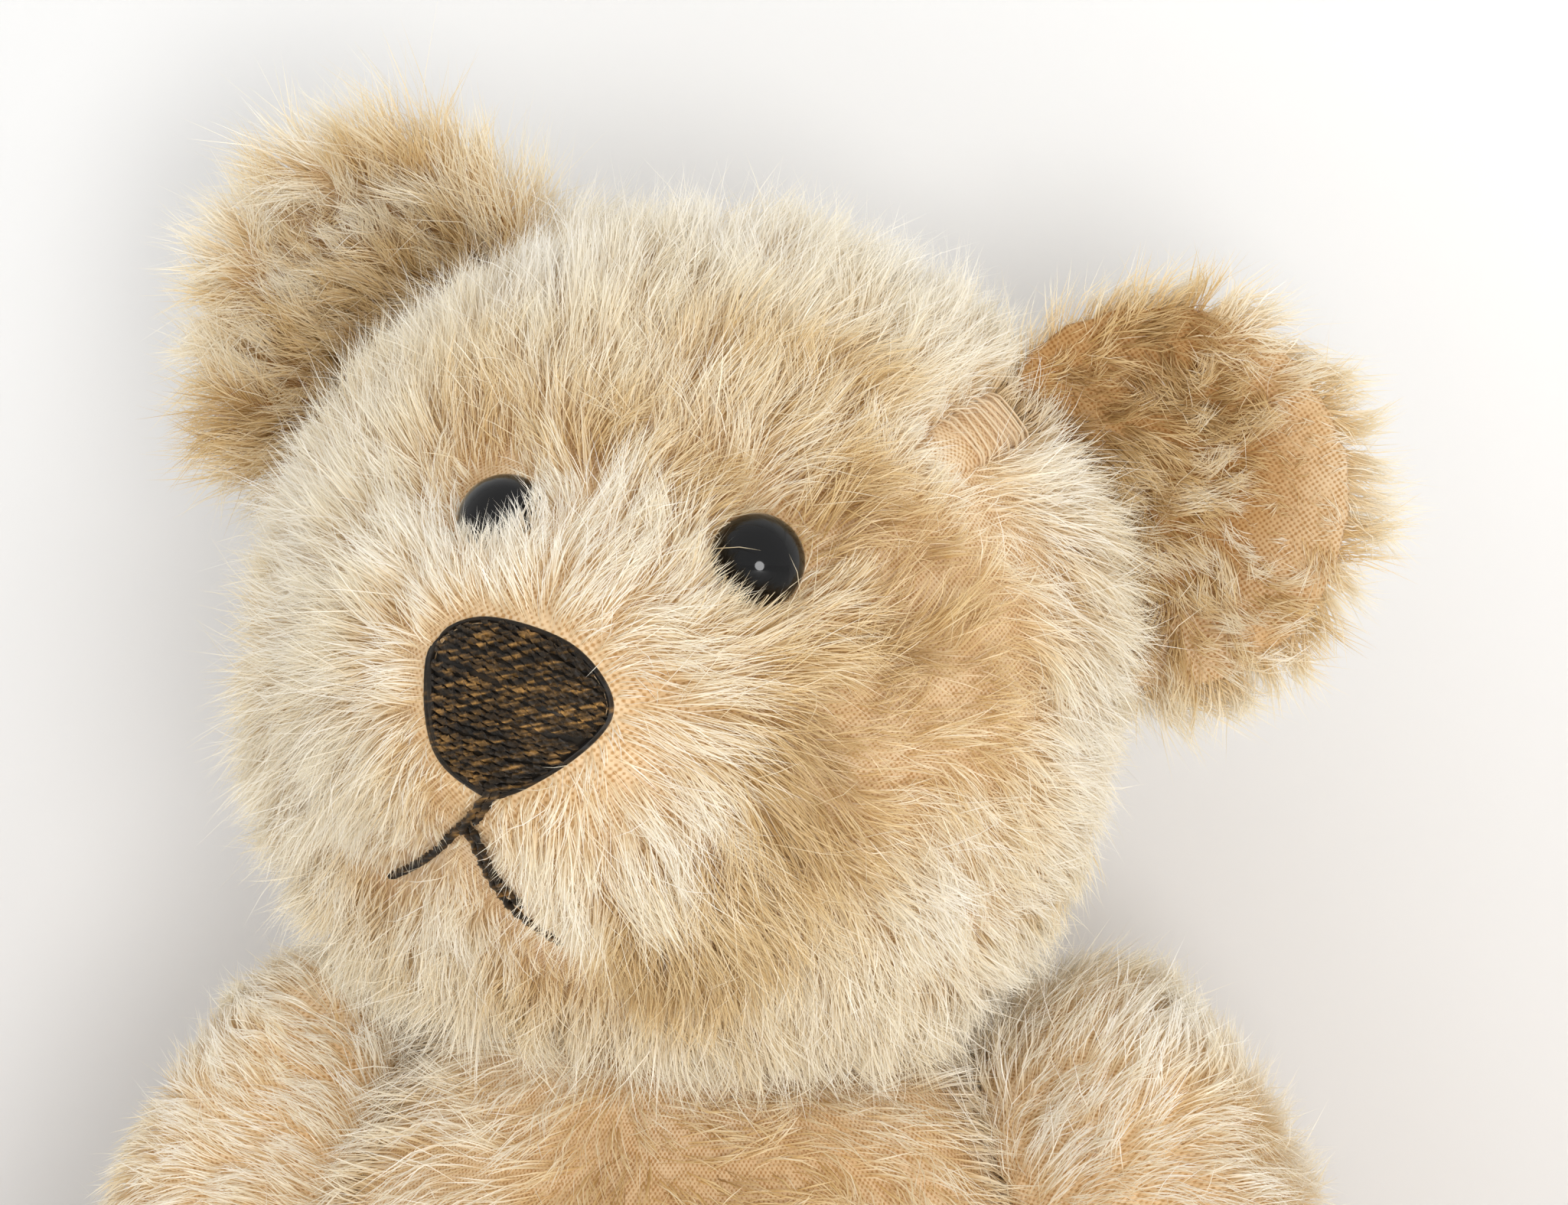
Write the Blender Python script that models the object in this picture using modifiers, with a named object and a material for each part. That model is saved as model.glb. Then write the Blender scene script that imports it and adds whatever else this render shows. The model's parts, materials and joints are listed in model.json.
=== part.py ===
"""An old jointed mohair teddy bear, sitting up, in metres with +Z up.

The bear faces -Y and its left side is +X. The origin is on the ground, in the middle of the seat.
It is six stuffed bags, the torso, the head, two arms and two legs. Each bag is a cloth cover with a
sewn-in filling, and the head and limbs turn on pairs of fibreboard discs that a split pin holds together.
"""

import math

import bmesh
import bpy
from mathutils import Matrix, Vector

# ---------------------------------------------------------------- driving dimensions
COVER = 0.0020  # pile cloth, backing and pile root together
GAP = 0.0003  # between pieces that touch
FILLING_INSET = COVER + 0.0006  # the filling's surface, below the cover's outer surface
PULL = 0.0010  # how far a bag is drawn past a joint's plane before the plane trims it flat
PULL_REACH = 0.0042
PULL_FADE = 0.0080
SNAP = 0.0003  # points of a bag this close to a trim plane are moved onto it
FLAT_MARGIN = 0.0029  # flat cloth beyond a joint's disc
DISH = 0.15  # how steeply the torso's cloth is drawn in around a joint's flat
BULGE = 0.50  # how steeply it may rise again past the limb

# Head, about its own centre
HEAD_RADII = Vector((0.0390, 0.0370, 0.0385))
MUZZLE_LENGTH = 0.0150
MUZZLE_DROP = math.radians(6.0)
MUZZLE_SKEW = math.radians(2.6)
MUZZLE_SPREAD = 0.46
MUZZLE_BLUNTNESS = 2.2
CHEEK = 0.0030
CHEEK_SPREAD = 0.50
CHEEK_WAY = Vector((0.75, -0.15, -0.60)).normalized()
NECK_HEIGHT = 0.0338  # the head's centre above the neck's plane
NECK_BACK = 0.0040  # the neck's axis behind the head's centre
NECK = Vector((-0.0056, -0.0030, 0.1178))
HEAD_LEAN = math.radians(11.5)

# Face
EYE_PLACE = Vector((0.0115, -0.0325, 0.0118))
EYE_RADIUS = 0.0042
EYE_FLATNESS = 0.86
EYE_DENT = 0.0030
EYE_DENT_SPREAD = 0.20
NOSE_PLACE = Vector((-0.0027, -0.0540, -0.0040))
NOSE_WIDTH = 0.0184
NOSE_HEIGHT = 0.0148
NOSE_THICKNESS = 0.0016
STITCH_RADIUS = 0.00055

# Ears
EAR_PLACE = Vector((0.0395, 0.0060, 0.0230))
EAR_RADIUS = 0.0190
EAR_CUP = 0.0065
EAR_THICKNESS = 0.0046
EAR_TURN = math.radians(12.0)

# Torso
TORSO_MIDDLE = 0.0580
TORSO_RISE = 0.0680
TORSO_WIDTHS = [(0.000, 0.0570), (0.028, 0.0465), (0.058, 0.0415), (0.090, 0.0440), (0.126, 0.0430)]
TORSO_DEPTH = 0.0350
BELLY = 0.0050
HUMP = 0.0060

# Arms, from the shoulder pivot on the torso's flat
SHOULDER = Vector((0.0330, 0.0020, 0.0970))
SHOULDER_SLOPE = math.radians(26.0)
ARM_FORWARD = {1: math.radians(22.0), -1: math.radians(-3.0)}  # the left arm, the right arm
ARM_ABOVE = 0.0195
ARM_BELOW = 0.0895
ARM_CURL = 0.0150
PALM_TILT = math.radians(35.0)

# Legs, from the hip pivot on the torso's flat
HIP = Vector((0.0375, 0.0020, 0.0205))
LEG_SPLAY = math.radians(4.0)
LEG_BEHIND = 0.0225
LEG_AHEAD = 0.1180
PAD_THICKNESS = 0.0012
PALM_SHIFT = Vector((0.0004, 0.0076, 0.0054))  # from the paw's tip to the middle of its flat
PALM_HALF_SIZES = (0.0078, 0.0108)
SOLE_HALF_SIZES = (0.0119, 0.0206)

# Joint hardware: disc radius and wall of each joint, and the sizes that all five share
NECK_DISC = 0.0114
ARM_DISC = 0.0095
LEG_DISC = 0.0118
NECK_REACH = 0.0230  # the torso's cloth keeps below the joint's plane this far from the axis
ARM_REACH = 0.0215
LEG_REACH = 0.0250
DISC_THICKNESS = 0.0030
WASHER_RADIUS = 0.0058
WASHER_THICKNESS = 0.0010
PIN_HOLE = 0.0020
WIRE_RADIUS = 0.00075
WIRE_PAIR = 0.00095  # each of the pin's two wires stands this far from the joint's axis
PIN_EYE = 0.0026

# What follows from them
WALL_INSIDE = GAP / 2 + COVER
DISC_START = WALL_INSIDE + GAP
WASHER_START = DISC_START + DISC_THICKNESS + GAP
PIN_START = WASHER_START + WASHER_THICKNESS + GAP
MUZZLE_WAY = Vector((-math.sin(MUZZLE_SKEW), -math.cos(MUZZLE_SKEW), -math.tan(MUZZLE_DROP))).normalized()
SIDES = (("left", 1), ("right", -1))

COLOURS = {
    "mohair": ((0.72, 0.56, 0.36), 0.95, 0.0),
    "wood_wool": ((0.62, 0.47, 0.27), 0.95, 0.0),
    "felt": ((0.66, 0.50, 0.32), 0.95, 0.0),
    "fibreboard": ((0.30, 0.19, 0.10), 0.85, 0.0),
    "steel": ((0.42, 0.40, 0.37), 0.45, 1.0),
    "button_black": ((0.012, 0.012, 0.013), 0.12, 0.0),
    "nose_thread": ((0.045, 0.030, 0.018), 0.75, 0.0),
}


# ---------------------------------------------------------------- scene and object helpers
def clear_scene():
    """Removes every object that is in the file."""
    for obj in list(bpy.data.objects):
        bpy.data.objects.remove(obj, do_unlink=True)


def make_collection(name):
    """Makes a collection in the scene."""
    collection = bpy.data.collections.new(name)
    bpy.context.scene.collection.children.link(collection)
    return collection


def make_material(name):
    """Makes a Principled material from the table of colours."""
    colour, roughness, metallic = COLOURS[name]
    material = bpy.data.materials.new(name)
    material.use_nodes = True
    shader = material.node_tree.nodes["Principled BSDF"]
    shader.inputs["Base Color"].default_value = (*colour, 1.0)
    shader.inputs["Roughness"].default_value = roughness
    shader.inputs["Metallic"].default_value = metallic
    return material


def place(obj, name, parent, material=None, collection=None):
    """Names an object, hangs it from its pivot and puts it in its collection."""
    obj.name = name
    obj.parent = parent
    for old in list(obj.users_collection):
        old.objects.unlink(obj)
    (collection or PARTS).objects.link(obj)
    if material:
        obj.data.materials.append(MATERIALS[material])
    return obj


def make_cutter(obj, name, parent):
    """Marks an object as a cutter: it shapes others and isn't part of the bear."""
    place(obj, name, parent, collection=CUTTERS)
    obj.hide_render = True
    obj.display_type = "WIRE"
    return obj


def make_pivot(name, location, rotation):
    """Makes the empty that stands on a joint's axis."""
    pivot = bpy.data.objects.new(name, None)
    pivot.location = location
    pivot.rotation_euler = rotation
    PARTS.objects.link(pivot)
    return pivot


def cut(obj, cutter):
    """Takes a cutter's shape out of an object."""
    modifier = obj.modifiers.new("cut_" + cutter.name, "BOOLEAN")
    modifier.object = cutter
    modifier.operation = "DIFFERENCE"
    modifier.solver = "EXACT"
    return modifier


def join_meshes(data, other):
    """Adds another mesh's faces to a mesh, turned inside out, and removes the other mesh."""
    other.flip_normals()
    mesh = bmesh.new()
    mesh.from_mesh(data)
    mesh.from_mesh(other)
    mesh.to_mesh(data)
    mesh.free()
    bpy.data.meshes.remove(other)


def shade(obj, degrees=40):
    """Shades an object smooth, with its sharp edges kept."""
    obj.data.shade_smooth()
    obj.data.set_sharp_from_angle(angle=math.radians(degrees))


# ---------------------------------------------------------------- form helpers
def through(stations, t):
    """Reads a smooth value at t from a list of (t, value) stations."""
    if t <= stations[0][0]:
        return stations[0][1]
    for (t0, v0), (t1, v1) in zip(stations, stations[1:]):
        if t <= t1:
            share = (t - t0) / (t1 - t0)
            return v0 + (v1 - v0) * share * share * (3 - 2 * share)
    return stations[-1][1]


def bell(distance, width):
    """A soft bump: 1 in its middle, falling away over its width."""
    return math.exp(-((distance / width) ** 2))


def fade(amount):
    """Falls smoothly from 1 to 0 as an amount goes from 0 to 1."""
    amount = min(1.0, max(0.0, amount))
    return 1 - amount * amount * (3 - 2 * amount)


def from_joint(point, spot, outward):
    """How far a point is out along a joint's axis, and how far across from it."""
    out = (point - spot).dot(outward)
    return out, (point - spot - outward * out).length


def draw_out(point, flats):
    """Draws a point of a bag past each joint plane it lies close to, so that the plane trims a full round.

    Around a flat that has a reach, the point is also kept within a shallow dish.
    """
    for spot, outward, radius, reach in flats:
        out, across = from_joint(point, spot, outward)
        if out < PULL:
            share = fade((across - radius) / PULL_FADE) * fade((-out - PULL_REACH) / PULL_REACH)
            point = point + outward * (PULL - out) * share
            out += (PULL - out) * share
        if reach and across > radius:
            limit = max(-DISH * (across - radius), -DISH * (reach - radius) + BULGE * (across - reach))
            point = point - outward * max(0.0, out - limit)
    return point


def trim(mesh, point, outward, reach):
    """Cuts a mesh flat at a plane and closes it, everywhere or only within reach of the plane's point."""
    inside = set()
    for vertex in mesh.verts:
        out, across = from_joint(vertex.co, point, outward)
        if reach is None or across < reach:
            inside.add(vertex)
            if abs(out) < SNAP:
                vertex.co -= outward * out
    faces = [face for face in mesh.faces if all(vertex in inside for vertex in face.verts)]
    edges = {edge for face in faces for edge in face.edges}
    corners = {vertex for face in faces for vertex in face.verts}
    bmesh.ops.bisect_plane(
        mesh, geom=[*corners, *edges, *faces], plane_co=point, plane_no=outward, clear_outer=True, dist=1e-5
    )
    bmesh.ops.holes_fill(mesh, edges=[edge for edge in mesh.edges if edge.is_boundary])


def make_form(form, segments, rings, flats=(), trims=(), inset=0.0):
    """Warps a unit sphere by a form, trims it flat at each joint and each trim plane, and returns the object.

    A joint flat is (point, outward, radius, reach): its plane trims only what is within reach of the joint's
    axis, or everything where there is no reach. A trim is (point, outward). An inset form lies evenly inside.
    """
    bpy.ops.mesh.primitive_uv_sphere_add(segments=segments, ring_count=rings, radius=1.0)
    obj = bpy.context.object
    for vertex in obj.data.vertices:
        vertex.co = draw_out(form(vertex.co.normalized()), flats)
    mesh = bmesh.new()
    mesh.from_mesh(obj.data)
    bmesh.ops.recalc_face_normals(mesh, faces=mesh.faces)
    if mesh.calc_volume(signed=True) < 0:
        bmesh.ops.reverse_faces(mesh, faces=mesh.faces)
    mesh.normal_update()
    moves = [vertex.normal * vertex.calc_shell_factor() * -inset for vertex in mesh.verts]
    for vertex, move in zip(mesh.verts, moves):
        vertex.co += move
    for point, outward, _, reach in flats:
        trim(mesh, point - outward * inset, outward, reach)
    for point, outward in trims:
        trim(mesh, point - outward * inset, outward, None)
    bmesh.ops.triangulate(mesh, faces=mesh.faces)
    mesh.to_mesh(obj.data)
    mesh.free()
    return obj


def make_data(*form, inset):
    """Makes an inset form and keeps only its mesh."""
    obj = make_form(*form, inset=inset)
    data = obj.data
    bpy.data.objects.remove(obj)
    return data


def make_cylinder(name, parent, radius, start, end, way, segments=20):
    """Makes a cutting cylinder along a pivot's own axis, from start to end."""
    bpy.ops.mesh.primitive_cylinder_add(vertices=segments, radius=radius, depth=end - start)
    obj = bpy.context.object
    obj.data.transform(Matrix.Translation((0, 0, (start + end) / 2)))
    obj.data.transform(way.to_track_quat("Z", "Y").to_matrix().to_4x4())
    return make_cutter(obj, name, parent)


def make_ring(name, parent, material, inner, outer, start, end, way, segments):
    """Turns a flat ring, such as a disc with a hole, along a pivot's own axis."""
    outline = bpy.data.meshes.new(name)
    corners = [(outer, 0, end), (outer, 0, start), (inner, 0, start), (inner, 0, end)]
    outline.from_pydata(corners, [(0, 1), (1, 2), (2, 3), (3, 0)], [])
    obj = bpy.data.objects.new(name, outline)
    bpy.context.scene.collection.objects.link(obj)
    place(obj, name, parent, material)
    obj.rotation_euler = way.to_track_quat("Z", "Y").to_euler()
    turn = obj.modifiers.new("turn", "SCREW")
    turn.steps = segments
    turn.render_steps = segments
    turn.use_merge_vertices = True
    turn.merge_threshold = 1e-5
    turn.use_smooth_shade = False
    return obj


def make_wire(name, parent, material, points, radius, sides=1):
    """Makes a round wire or thread along a line of points, with closed ends."""
    curve = bpy.data.curves.new(name, "CURVE")
    curve.dimensions = "3D"
    curve.bevel_depth = radius
    curve.bevel_resolution = sides
    curve.use_fill_caps = True
    spline = curve.splines.new("POLY")
    spline.points.add(len(points) - 1)
    for spot, point in zip(spline.points, points):
        spot.co = (*point, 1.0)
    obj = bpy.data.objects.new(name, curve)
    bpy.context.scene.collection.objects.link(obj)
    return place(obj, name, parent, material)


# ---------------------------------------------------------------- forms of the bags
def head_form(way):
    """The head's outer surface in a direction from its centre: a ball with a muzzle, cheeks and eye dents."""
    ball = 1.0 / math.sqrt(sum((way[k] / HEAD_RADII[k]) ** 2 for k in range(3)))
    from_muzzle = way.angle(MUZZLE_WAY)
    reach = ball + MUZZLE_LENGTH * math.exp(-((from_muzzle / MUZZLE_SPREAD) ** MUZZLE_BLUNTNESS))
    for _, side in SIDES:
        reach += CHEEK * bell(way.angle(mirrored(CHEEK_WAY, side)), CHEEK_SPREAD)
        reach -= EYE_DENT * bell(way.angle(mirrored(EYE_PLACE, side)), EYE_DENT_SPREAD)
    return way * reach


def torso_form(way):
    """The torso's outer surface: a pear with a belly in front and a hump behind."""
    z = TORSO_MIDDLE + TORSO_RISE * way.z
    x = through(TORSO_WIDTHS, z) * way.x
    y = TORSO_DEPTH * way.y
    y -= BELLY * max(0.0, -way.y) * bell(z - 0.048, 0.034)
    y += HUMP * max(0.0, way.y) * bell(z - 0.096, 0.022)
    return Vector((x, y, z))


# Along a limb, from its top at 0 to its end at 1: half-thickness, half-breadth, and the axis's stand-off
ARM_THICK = [(0.00, 0.0148), (0.28, 0.0148), (0.55, 0.0126), (0.80, 0.0108), (0.93, 0.0118), (1.0, 0.0118)]
ARM_BROAD = [(0.00, 0.0164), (0.25, 0.0164), (0.58, 0.0138), (0.80, 0.0112), (0.93, 0.0126), (1.0, 0.0126)]
ARM_STAND = [(0.00, 0.0096), (0.28, 0.0098), (0.55, 0.0142), (0.80, 0.0138), (1.0, 0.0130)]
LEG_THICK = [(0.00, 0.0186), (0.28, 0.0186), (0.50, 0.0165), (0.72, 0.0132), (0.88, 0.0152), (1.0, 0.0152)]
LEG_BROAD = [(0.00, 0.0212), (0.22, 0.0212), (0.50, 0.0176), (0.72, 0.0142), (0.90, 0.0255), (1.0, 0.0255)]
LEG_STAND = [(0.00, 0.0116), (0.28, 0.0118), (0.52, 0.0178), (1.0, 0.0178)]


def end_rounding(along, bluntness):
    """How wide a bag is near its end: along is -1 to 1."""
    return (1 - abs(along) ** bluntness) ** 0.42 if abs(along) < 1 else 0.0


def arm_form(way):
    """The left arm's outer surface, hanging along -Z from its shoulder pivot, with the paw curled forward."""
    t = (1 - way.z) / 2
    down = -ARM_ABOVE + (ARM_ABOVE + ARM_BELOW) * t
    ends = end_rounding(way.z, 4)
    round_way = Vector((way.x, way.y)).normalized() if abs(way.z) < 0.9999 else Vector((0, 0))
    x = through(ARM_STAND, t) + through(ARM_THICK, t) * ends * round_way.x
    y = through(ARM_BROAD, t) * ends * round_way.y - ARM_CURL * max(0.0, t - 0.25) ** 2 / 0.5625
    return Vector((x, y, -down))


def leg_form(way):
    """The left leg's outer surface, lying along -Y from its hip pivot, with the toes up."""
    t = (1 - way.z) / 2
    ahead = -LEG_BEHIND + (LEG_BEHIND + LEG_AHEAD + 0.008) * t
    ends = end_rounding(way.z, 4 if way.z > 0 else 12)
    round_way = Vector((way.x, way.y)).normalized() if abs(way.z) < 0.9999 else Vector((0, 0))
    x = through(LEG_STAND, t) + through(LEG_THICK, t) * ends * round_way.x
    middle = through(LEG_BROAD, t) - LEG_BROAD[0][1]
    return Vector((x, -ahead, middle - through(LEG_BROAD, t) * ends * round_way.y))


def mirrored(vector, side):
    """A vector of the left side, or the same on the right side."""
    return Vector((side * vector.x, vector.y, vector.z))


def limb_form(form, side):
    """A left limb's form, or the same on the right side."""
    return form if side > 0 else lambda way: mirrored(form(mirrored(way, side)), side)


def side_turn(kind, side):
    """The rotation of a limb's pivot."""
    if kind == "arm":
        return (-ARM_FORWARD[side], -side * SHOULDER_SLOPE, 0.0)
    return (0.0, 0.0, side * LEG_SPLAY)


def joint_axis(kind, side):
    """The way a joint's axis points, out of the torso."""
    if kind == "neck":
        return Vector((math.sin(HEAD_LEAN), 0, math.cos(HEAD_LEAN)))
    if kind == "arm":
        return Vector((side * math.cos(SHOULDER_SLOPE), 0, math.sin(SHOULDER_SLOPE)))
    return Vector((side * math.cos(LEG_SPLAY), math.sin(LEG_SPLAY), 0))


def torso_flats():
    """The torso's flats, where the head and limbs are drawn against it."""
    axis = joint_axis("neck", 1)
    flats = [(NECK - axis * GAP / 2, axis, NECK_DISC + FLAT_MARGIN, NECK_REACH)]
    limbs = (("arm", SHOULDER, ARM_DISC, ARM_REACH), ("leg", HIP, LEG_DISC, LEG_REACH))
    for _, side in SIDES:
        for kind, pivot, disc, reach in limbs:
            axis = joint_axis(kind, side)
            flats.append((mirrored(pivot, side) - axis * GAP / 2, axis, disc + FLAT_MARGIN, reach))
    return flats


# ---------------------------------------------------------------- bags
def make_cover(form, name, parent, pin_holes):
    """Makes a form into a cloth shell with a hole at each joint pin."""
    obj = place(make_form(*form), name, parent, "mohair")
    join_meshes(obj.data, make_data(*form, inset=COVER))
    for hole in pin_holes:
        cut(obj, hole)
    shade(obj)
    return obj


def make_filling(form, name, parent, pockets):
    """Makes a form into a bag's filling, with a pocket at each joint's hardware."""
    obj = place(make_form(*form, inset=FILLING_INSET), name, parent, "wood_wool")
    for pocket in pockets:
        cut(obj, pocket)
    shade(obj)
    return obj


def make_pocket(name, parent, way, disc_radius, curls):
    """Cuts room in a filling for a disc, its washer and one end of the pin."""
    inner = 0.0074 if curls else WASHER_RADIUS + 0.0008
    depth = 0.0040 if curls else 2 * PIN_EYE + 0.0034
    return [
        make_cylinder(name + "_disc", parent, disc_radius + 0.0006, -0.004, WASHER_START, way),
        make_cylinder(name + "_pin", parent, inner, 0.0, PIN_START + depth, way, 16),
    ]


def make_disc_and_washer(prefix, parent, way, disc_radius):
    """Makes the fibreboard disc and steel washer on one side of a joint."""
    make_ring(prefix + "_disc", parent, "fibreboard", PIN_HOLE, disc_radius, DISC_START,
              DISC_START + DISC_THICKNESS, way, 18)
    make_ring(prefix + "_washer", parent, "steel", PIN_HOLE, WASHER_RADIUS, WASHER_START,
              WASHER_START + WASHER_THICKNESS, way, 12)


def pin_points():
    """The line of a split pin's one wire, in its own X-Z plane: curl, leg, eye, leg, curl."""
    bend = 0.0020
    low = -(PIN_START + WIRE_RADIUS)
    high = PIN_START + WIRE_RADIUS
    half = [(WIRE_PAIR + bend + 0.0036, low - 0.0002), (WIRE_PAIR + bend + 0.0020, low - 0.0009)]
    for degrees in (90, 45, 0):
        turn = math.radians(degrees)
        half.append((WIRE_PAIR + bend - bend * math.cos(turn), low - bend * math.sin(turn) + bend * 0.5))
    half.append((WIRE_PAIR, PIN_START))
    eye_middle = high + PIN_EYE
    for degrees in (-60, -22, 16, 54, 90):
        turn = math.radians(degrees)
        half.append((PIN_EYE * math.cos(turn), eye_middle + PIN_EYE * math.sin(turn)))
    half[-1] = (0.0, eye_middle + PIN_EYE)
    other = [(-x, z) for x, z in reversed(half[:-1])]
    return [Vector((x, 0, z)) for x, z in half + other]


def make_joint(name, body_pivot, limb_pivot, way, disc_radius):
    """Makes one joint's hardware: the pin stays with the torso and the outer disc turns with the limb."""
    turn = way.to_track_quat("Z", "Y")
    make_disc_and_washer(name + "_inner", body_pivot, -way, disc_radius)
    make_disc_and_washer(name + "_outer", limb_pivot, way, disc_radius)
    points = [turn @ point for point in pin_points()]
    make_wire(name + "_split_pin", body_pivot, "steel", points, WIRE_RADIUS)


def make_torso(pivots):
    """Makes the torso's cover and filling."""
    holes, pockets = [], []
    for name, pivot, way, radius in pivots:
        holes.append(make_cylinder(name + "_hole", pivot, PIN_HOLE, -0.006, 0.002, way, 12))
        pockets += make_pocket(name + "_inner_room", pivot, -way, radius, curls=True)
    seat = [(Vector((0, 0, 0)), Vector((0, 0, -1)))]
    form = (torso_form, 32, 22, torso_flats(), seat)
    make_cover(form, "torso_cover", None, holes)
    make_filling(form, "torso_filling", None, pockets)


def make_head(pivot):
    """Makes the head's cover and filling, its ears, its eyes and its stitched face."""
    way = Vector((0, 0, 1))
    centre = Vector((0, -NECK_BACK, NECK_HEIGHT))
    neck_spot = Vector((0, NECK_BACK, -NECK_HEIGHT + GAP / 2))
    flats = [(neck_spot, -way, NECK_DISC + FLAT_MARGIN, None)]
    holes = [make_cylinder("neck_outer_hole", pivot, PIN_HOLE, -0.002, 0.006, way, 12)]
    pockets = make_pocket("neck_outer_room", pivot, way, NECK_DISC, curls=False)
    eyes = []
    for label, side in SIDES:
        surface = centre + head_form(mirrored(EYE_PLACE, side).normalized())
        spot = make_pivot(f"{label}_eye_pivot", surface, (0, 0, 0))
        spot.parent = pivot
        eyes.append((label, side, spot))
        holes.append(make_cylinder(f"{label}_shank_hole", spot, 0.0017, -0.006, 0.006, eye_way(side), 10))
        pockets.append(make_cylinder(f"{label}_shank_room", spot, 0.0024, -0.0085, 0.006, eye_way(side), 10))
    form = (head_form, 26, 20, flats)
    make_cover(form, "head_cover", pivot, holes).location = centre
    make_filling(form, "head_filling", pivot, pockets).location = centre
    seat = make_cutter(make_form(*form, inset=-GAP), "head_seat", pivot)
    seat.location = centre
    for label, side, spot in eyes:
        make_ear(label, side, pivot, centre, seat)
        make_eye(label, spot, eye_way(side), seat)
    make_nose(pivot, centre, seat)
    make_mouth(pivot, centre)


def eye_way(side):
    """The way an eye looks: halfway between straight ahead and straight out of the head."""
    return (mirrored(EYE_PLACE, side).normalized() + Vector((0, -0.6, 0))).normalized()


def make_eye(label, spot, way, seat):
    """Makes a button eye, its back seated on the cloth, and the wire loop that holds it."""
    bpy.ops.mesh.primitive_uv_sphere_add(segments=18, ring_count=12, radius=EYE_RADIUS)
    eye = place(bpy.context.object, f"{label}_eye", spot, "button_black")
    eye.data.transform(Matrix.Scale(EYE_FLATNESS, 4, (0, 0, 1)))
    eye.location = way * 0.0006
    eye.rotation_euler = way.to_track_quat("Z", "Y").to_euler()
    cut(eye, seat)
    shade(eye)
    turn = way.to_track_quat("Z", "Y")
    leg, reach, wire = 0.0009, 0.0060, 0.0004
    loop = [Vector((leg, 0, -0.0009)), Vector((leg, 0, -reach))]
    for degrees in (-45, -90, -135):
        angle = math.radians(degrees)
        loop.append(Vector((leg * math.cos(angle), 0, -reach + leg * math.sin(angle))))
    loop += [Vector((-leg, 0, -reach)), Vector((-leg, 0, -0.0009))]
    make_wire(f"{label}_eye_shank", spot, "steel", [turn @ point for point in loop], wire)


def make_ear(label, side, pivot, centre, seat):
    """Makes an ear: a cupped round of doubled cloth, sewn along the head."""
    bpy.ops.mesh.primitive_uv_sphere_add(segments=22, ring_count=10, radius=1.0)
    ear = place(bpy.context.object, f"{label}_ear", pivot, "mohair")
    for vertex in ear.data.vertices:
        across, up, through_ear = vertex.co
        rim = across * across + up * up
        depth = EAR_CUP * (1 - rim) + EAR_THICKNESS / 2 * through_ear
        vertex.co = (EAR_RADIUS * across, depth, EAR_RADIUS * up)
    ear.data.flip_normals()
    ear.location = centre + mirrored(EAR_PLACE, side)
    ear.rotation_euler = (0, 0, side * EAR_TURN)
    cut(ear, seat)
    shade(ear)


def make_nose(pivot, centre, seat):
    """Makes the stitched nose: a rounded shield of thread on the muzzle's end."""
    across, up = NOSE_WIDTH / 2, NOSE_HEIGHT / 2
    shield = [(-1.0, 0.62), (-0.51, 0.98), (0.45, 0.91), (0.99, 0.31), (0.74, -0.35), (0.10, -0.98),
              (-0.34, -0.96), (-0.74, -0.66), (-0.97, 0.04)]
    curve = bpy.data.curves.new("nose_outline", "CURVE")
    curve.dimensions = "2D"
    curve.fill_mode = "BOTH"
    curve.extrude = 0.0060
    curve.resolution_u = 3
    spline = curve.splines.new("BEZIER")
    spline.bezier_points.add(len(shield) - 1)
    spline.use_cyclic_u = True
    for spot, (x, y) in zip(spline.bezier_points, shield):
        spot.co = (across * x, up * y, 0)
        spot.handle_left_type = "AUTO"
        spot.handle_right_type = "AUTO"
    blank = bpy.data.objects.new("nose_blank", curve)
    bpy.context.scene.collection.objects.link(blank)
    bpy.context.view_layer.update()
    mesh = bpy.data.meshes.new_from_object(blank.evaluated_get(bpy.context.evaluated_depsgraph_get()))
    bpy.data.objects.remove(blank)
    solid = bmesh.new()
    solid.from_mesh(mesh)
    bmesh.ops.remove_doubles(solid, verts=solid.verts, dist=1e-6)
    bmesh.ops.recalc_face_normals(solid, faces=solid.faces)
    solid.to_mesh(mesh)
    solid.free()
    nose = bpy.data.objects.new("nose_stitching", mesh)
    bpy.context.scene.collection.objects.link(nose)
    place(nose, "nose_stitching", pivot, "nose_thread")
    nose.location = centre + NOSE_PLACE
    nose.rotation_euler = (math.radians(90 - 8), 0, 0)
    cap = make_cutter(make_form(head_form, 26, 20, inset=-GAP - NOSE_THICKNESS), "nose_face", pivot)
    cap.location = centre
    keep = nose.modifiers.new("thickness", "BOOLEAN")
    keep.object = cap
    keep.operation = "INTERSECT"
    keep.solver = "EXACT"
    cut(nose, seat)
    shade(nose)


def on_head(x, z, lift):
    """A point in front of the head, at a height and a distance across, lifted off the cloth."""
    way = Vector((x, -0.048, z)).normalized()
    for _ in range(8):
        spot = head_form(way)
        way = Vector((x, spot.y, z)).normalized()
    return head_form(way) + way * lift


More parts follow.
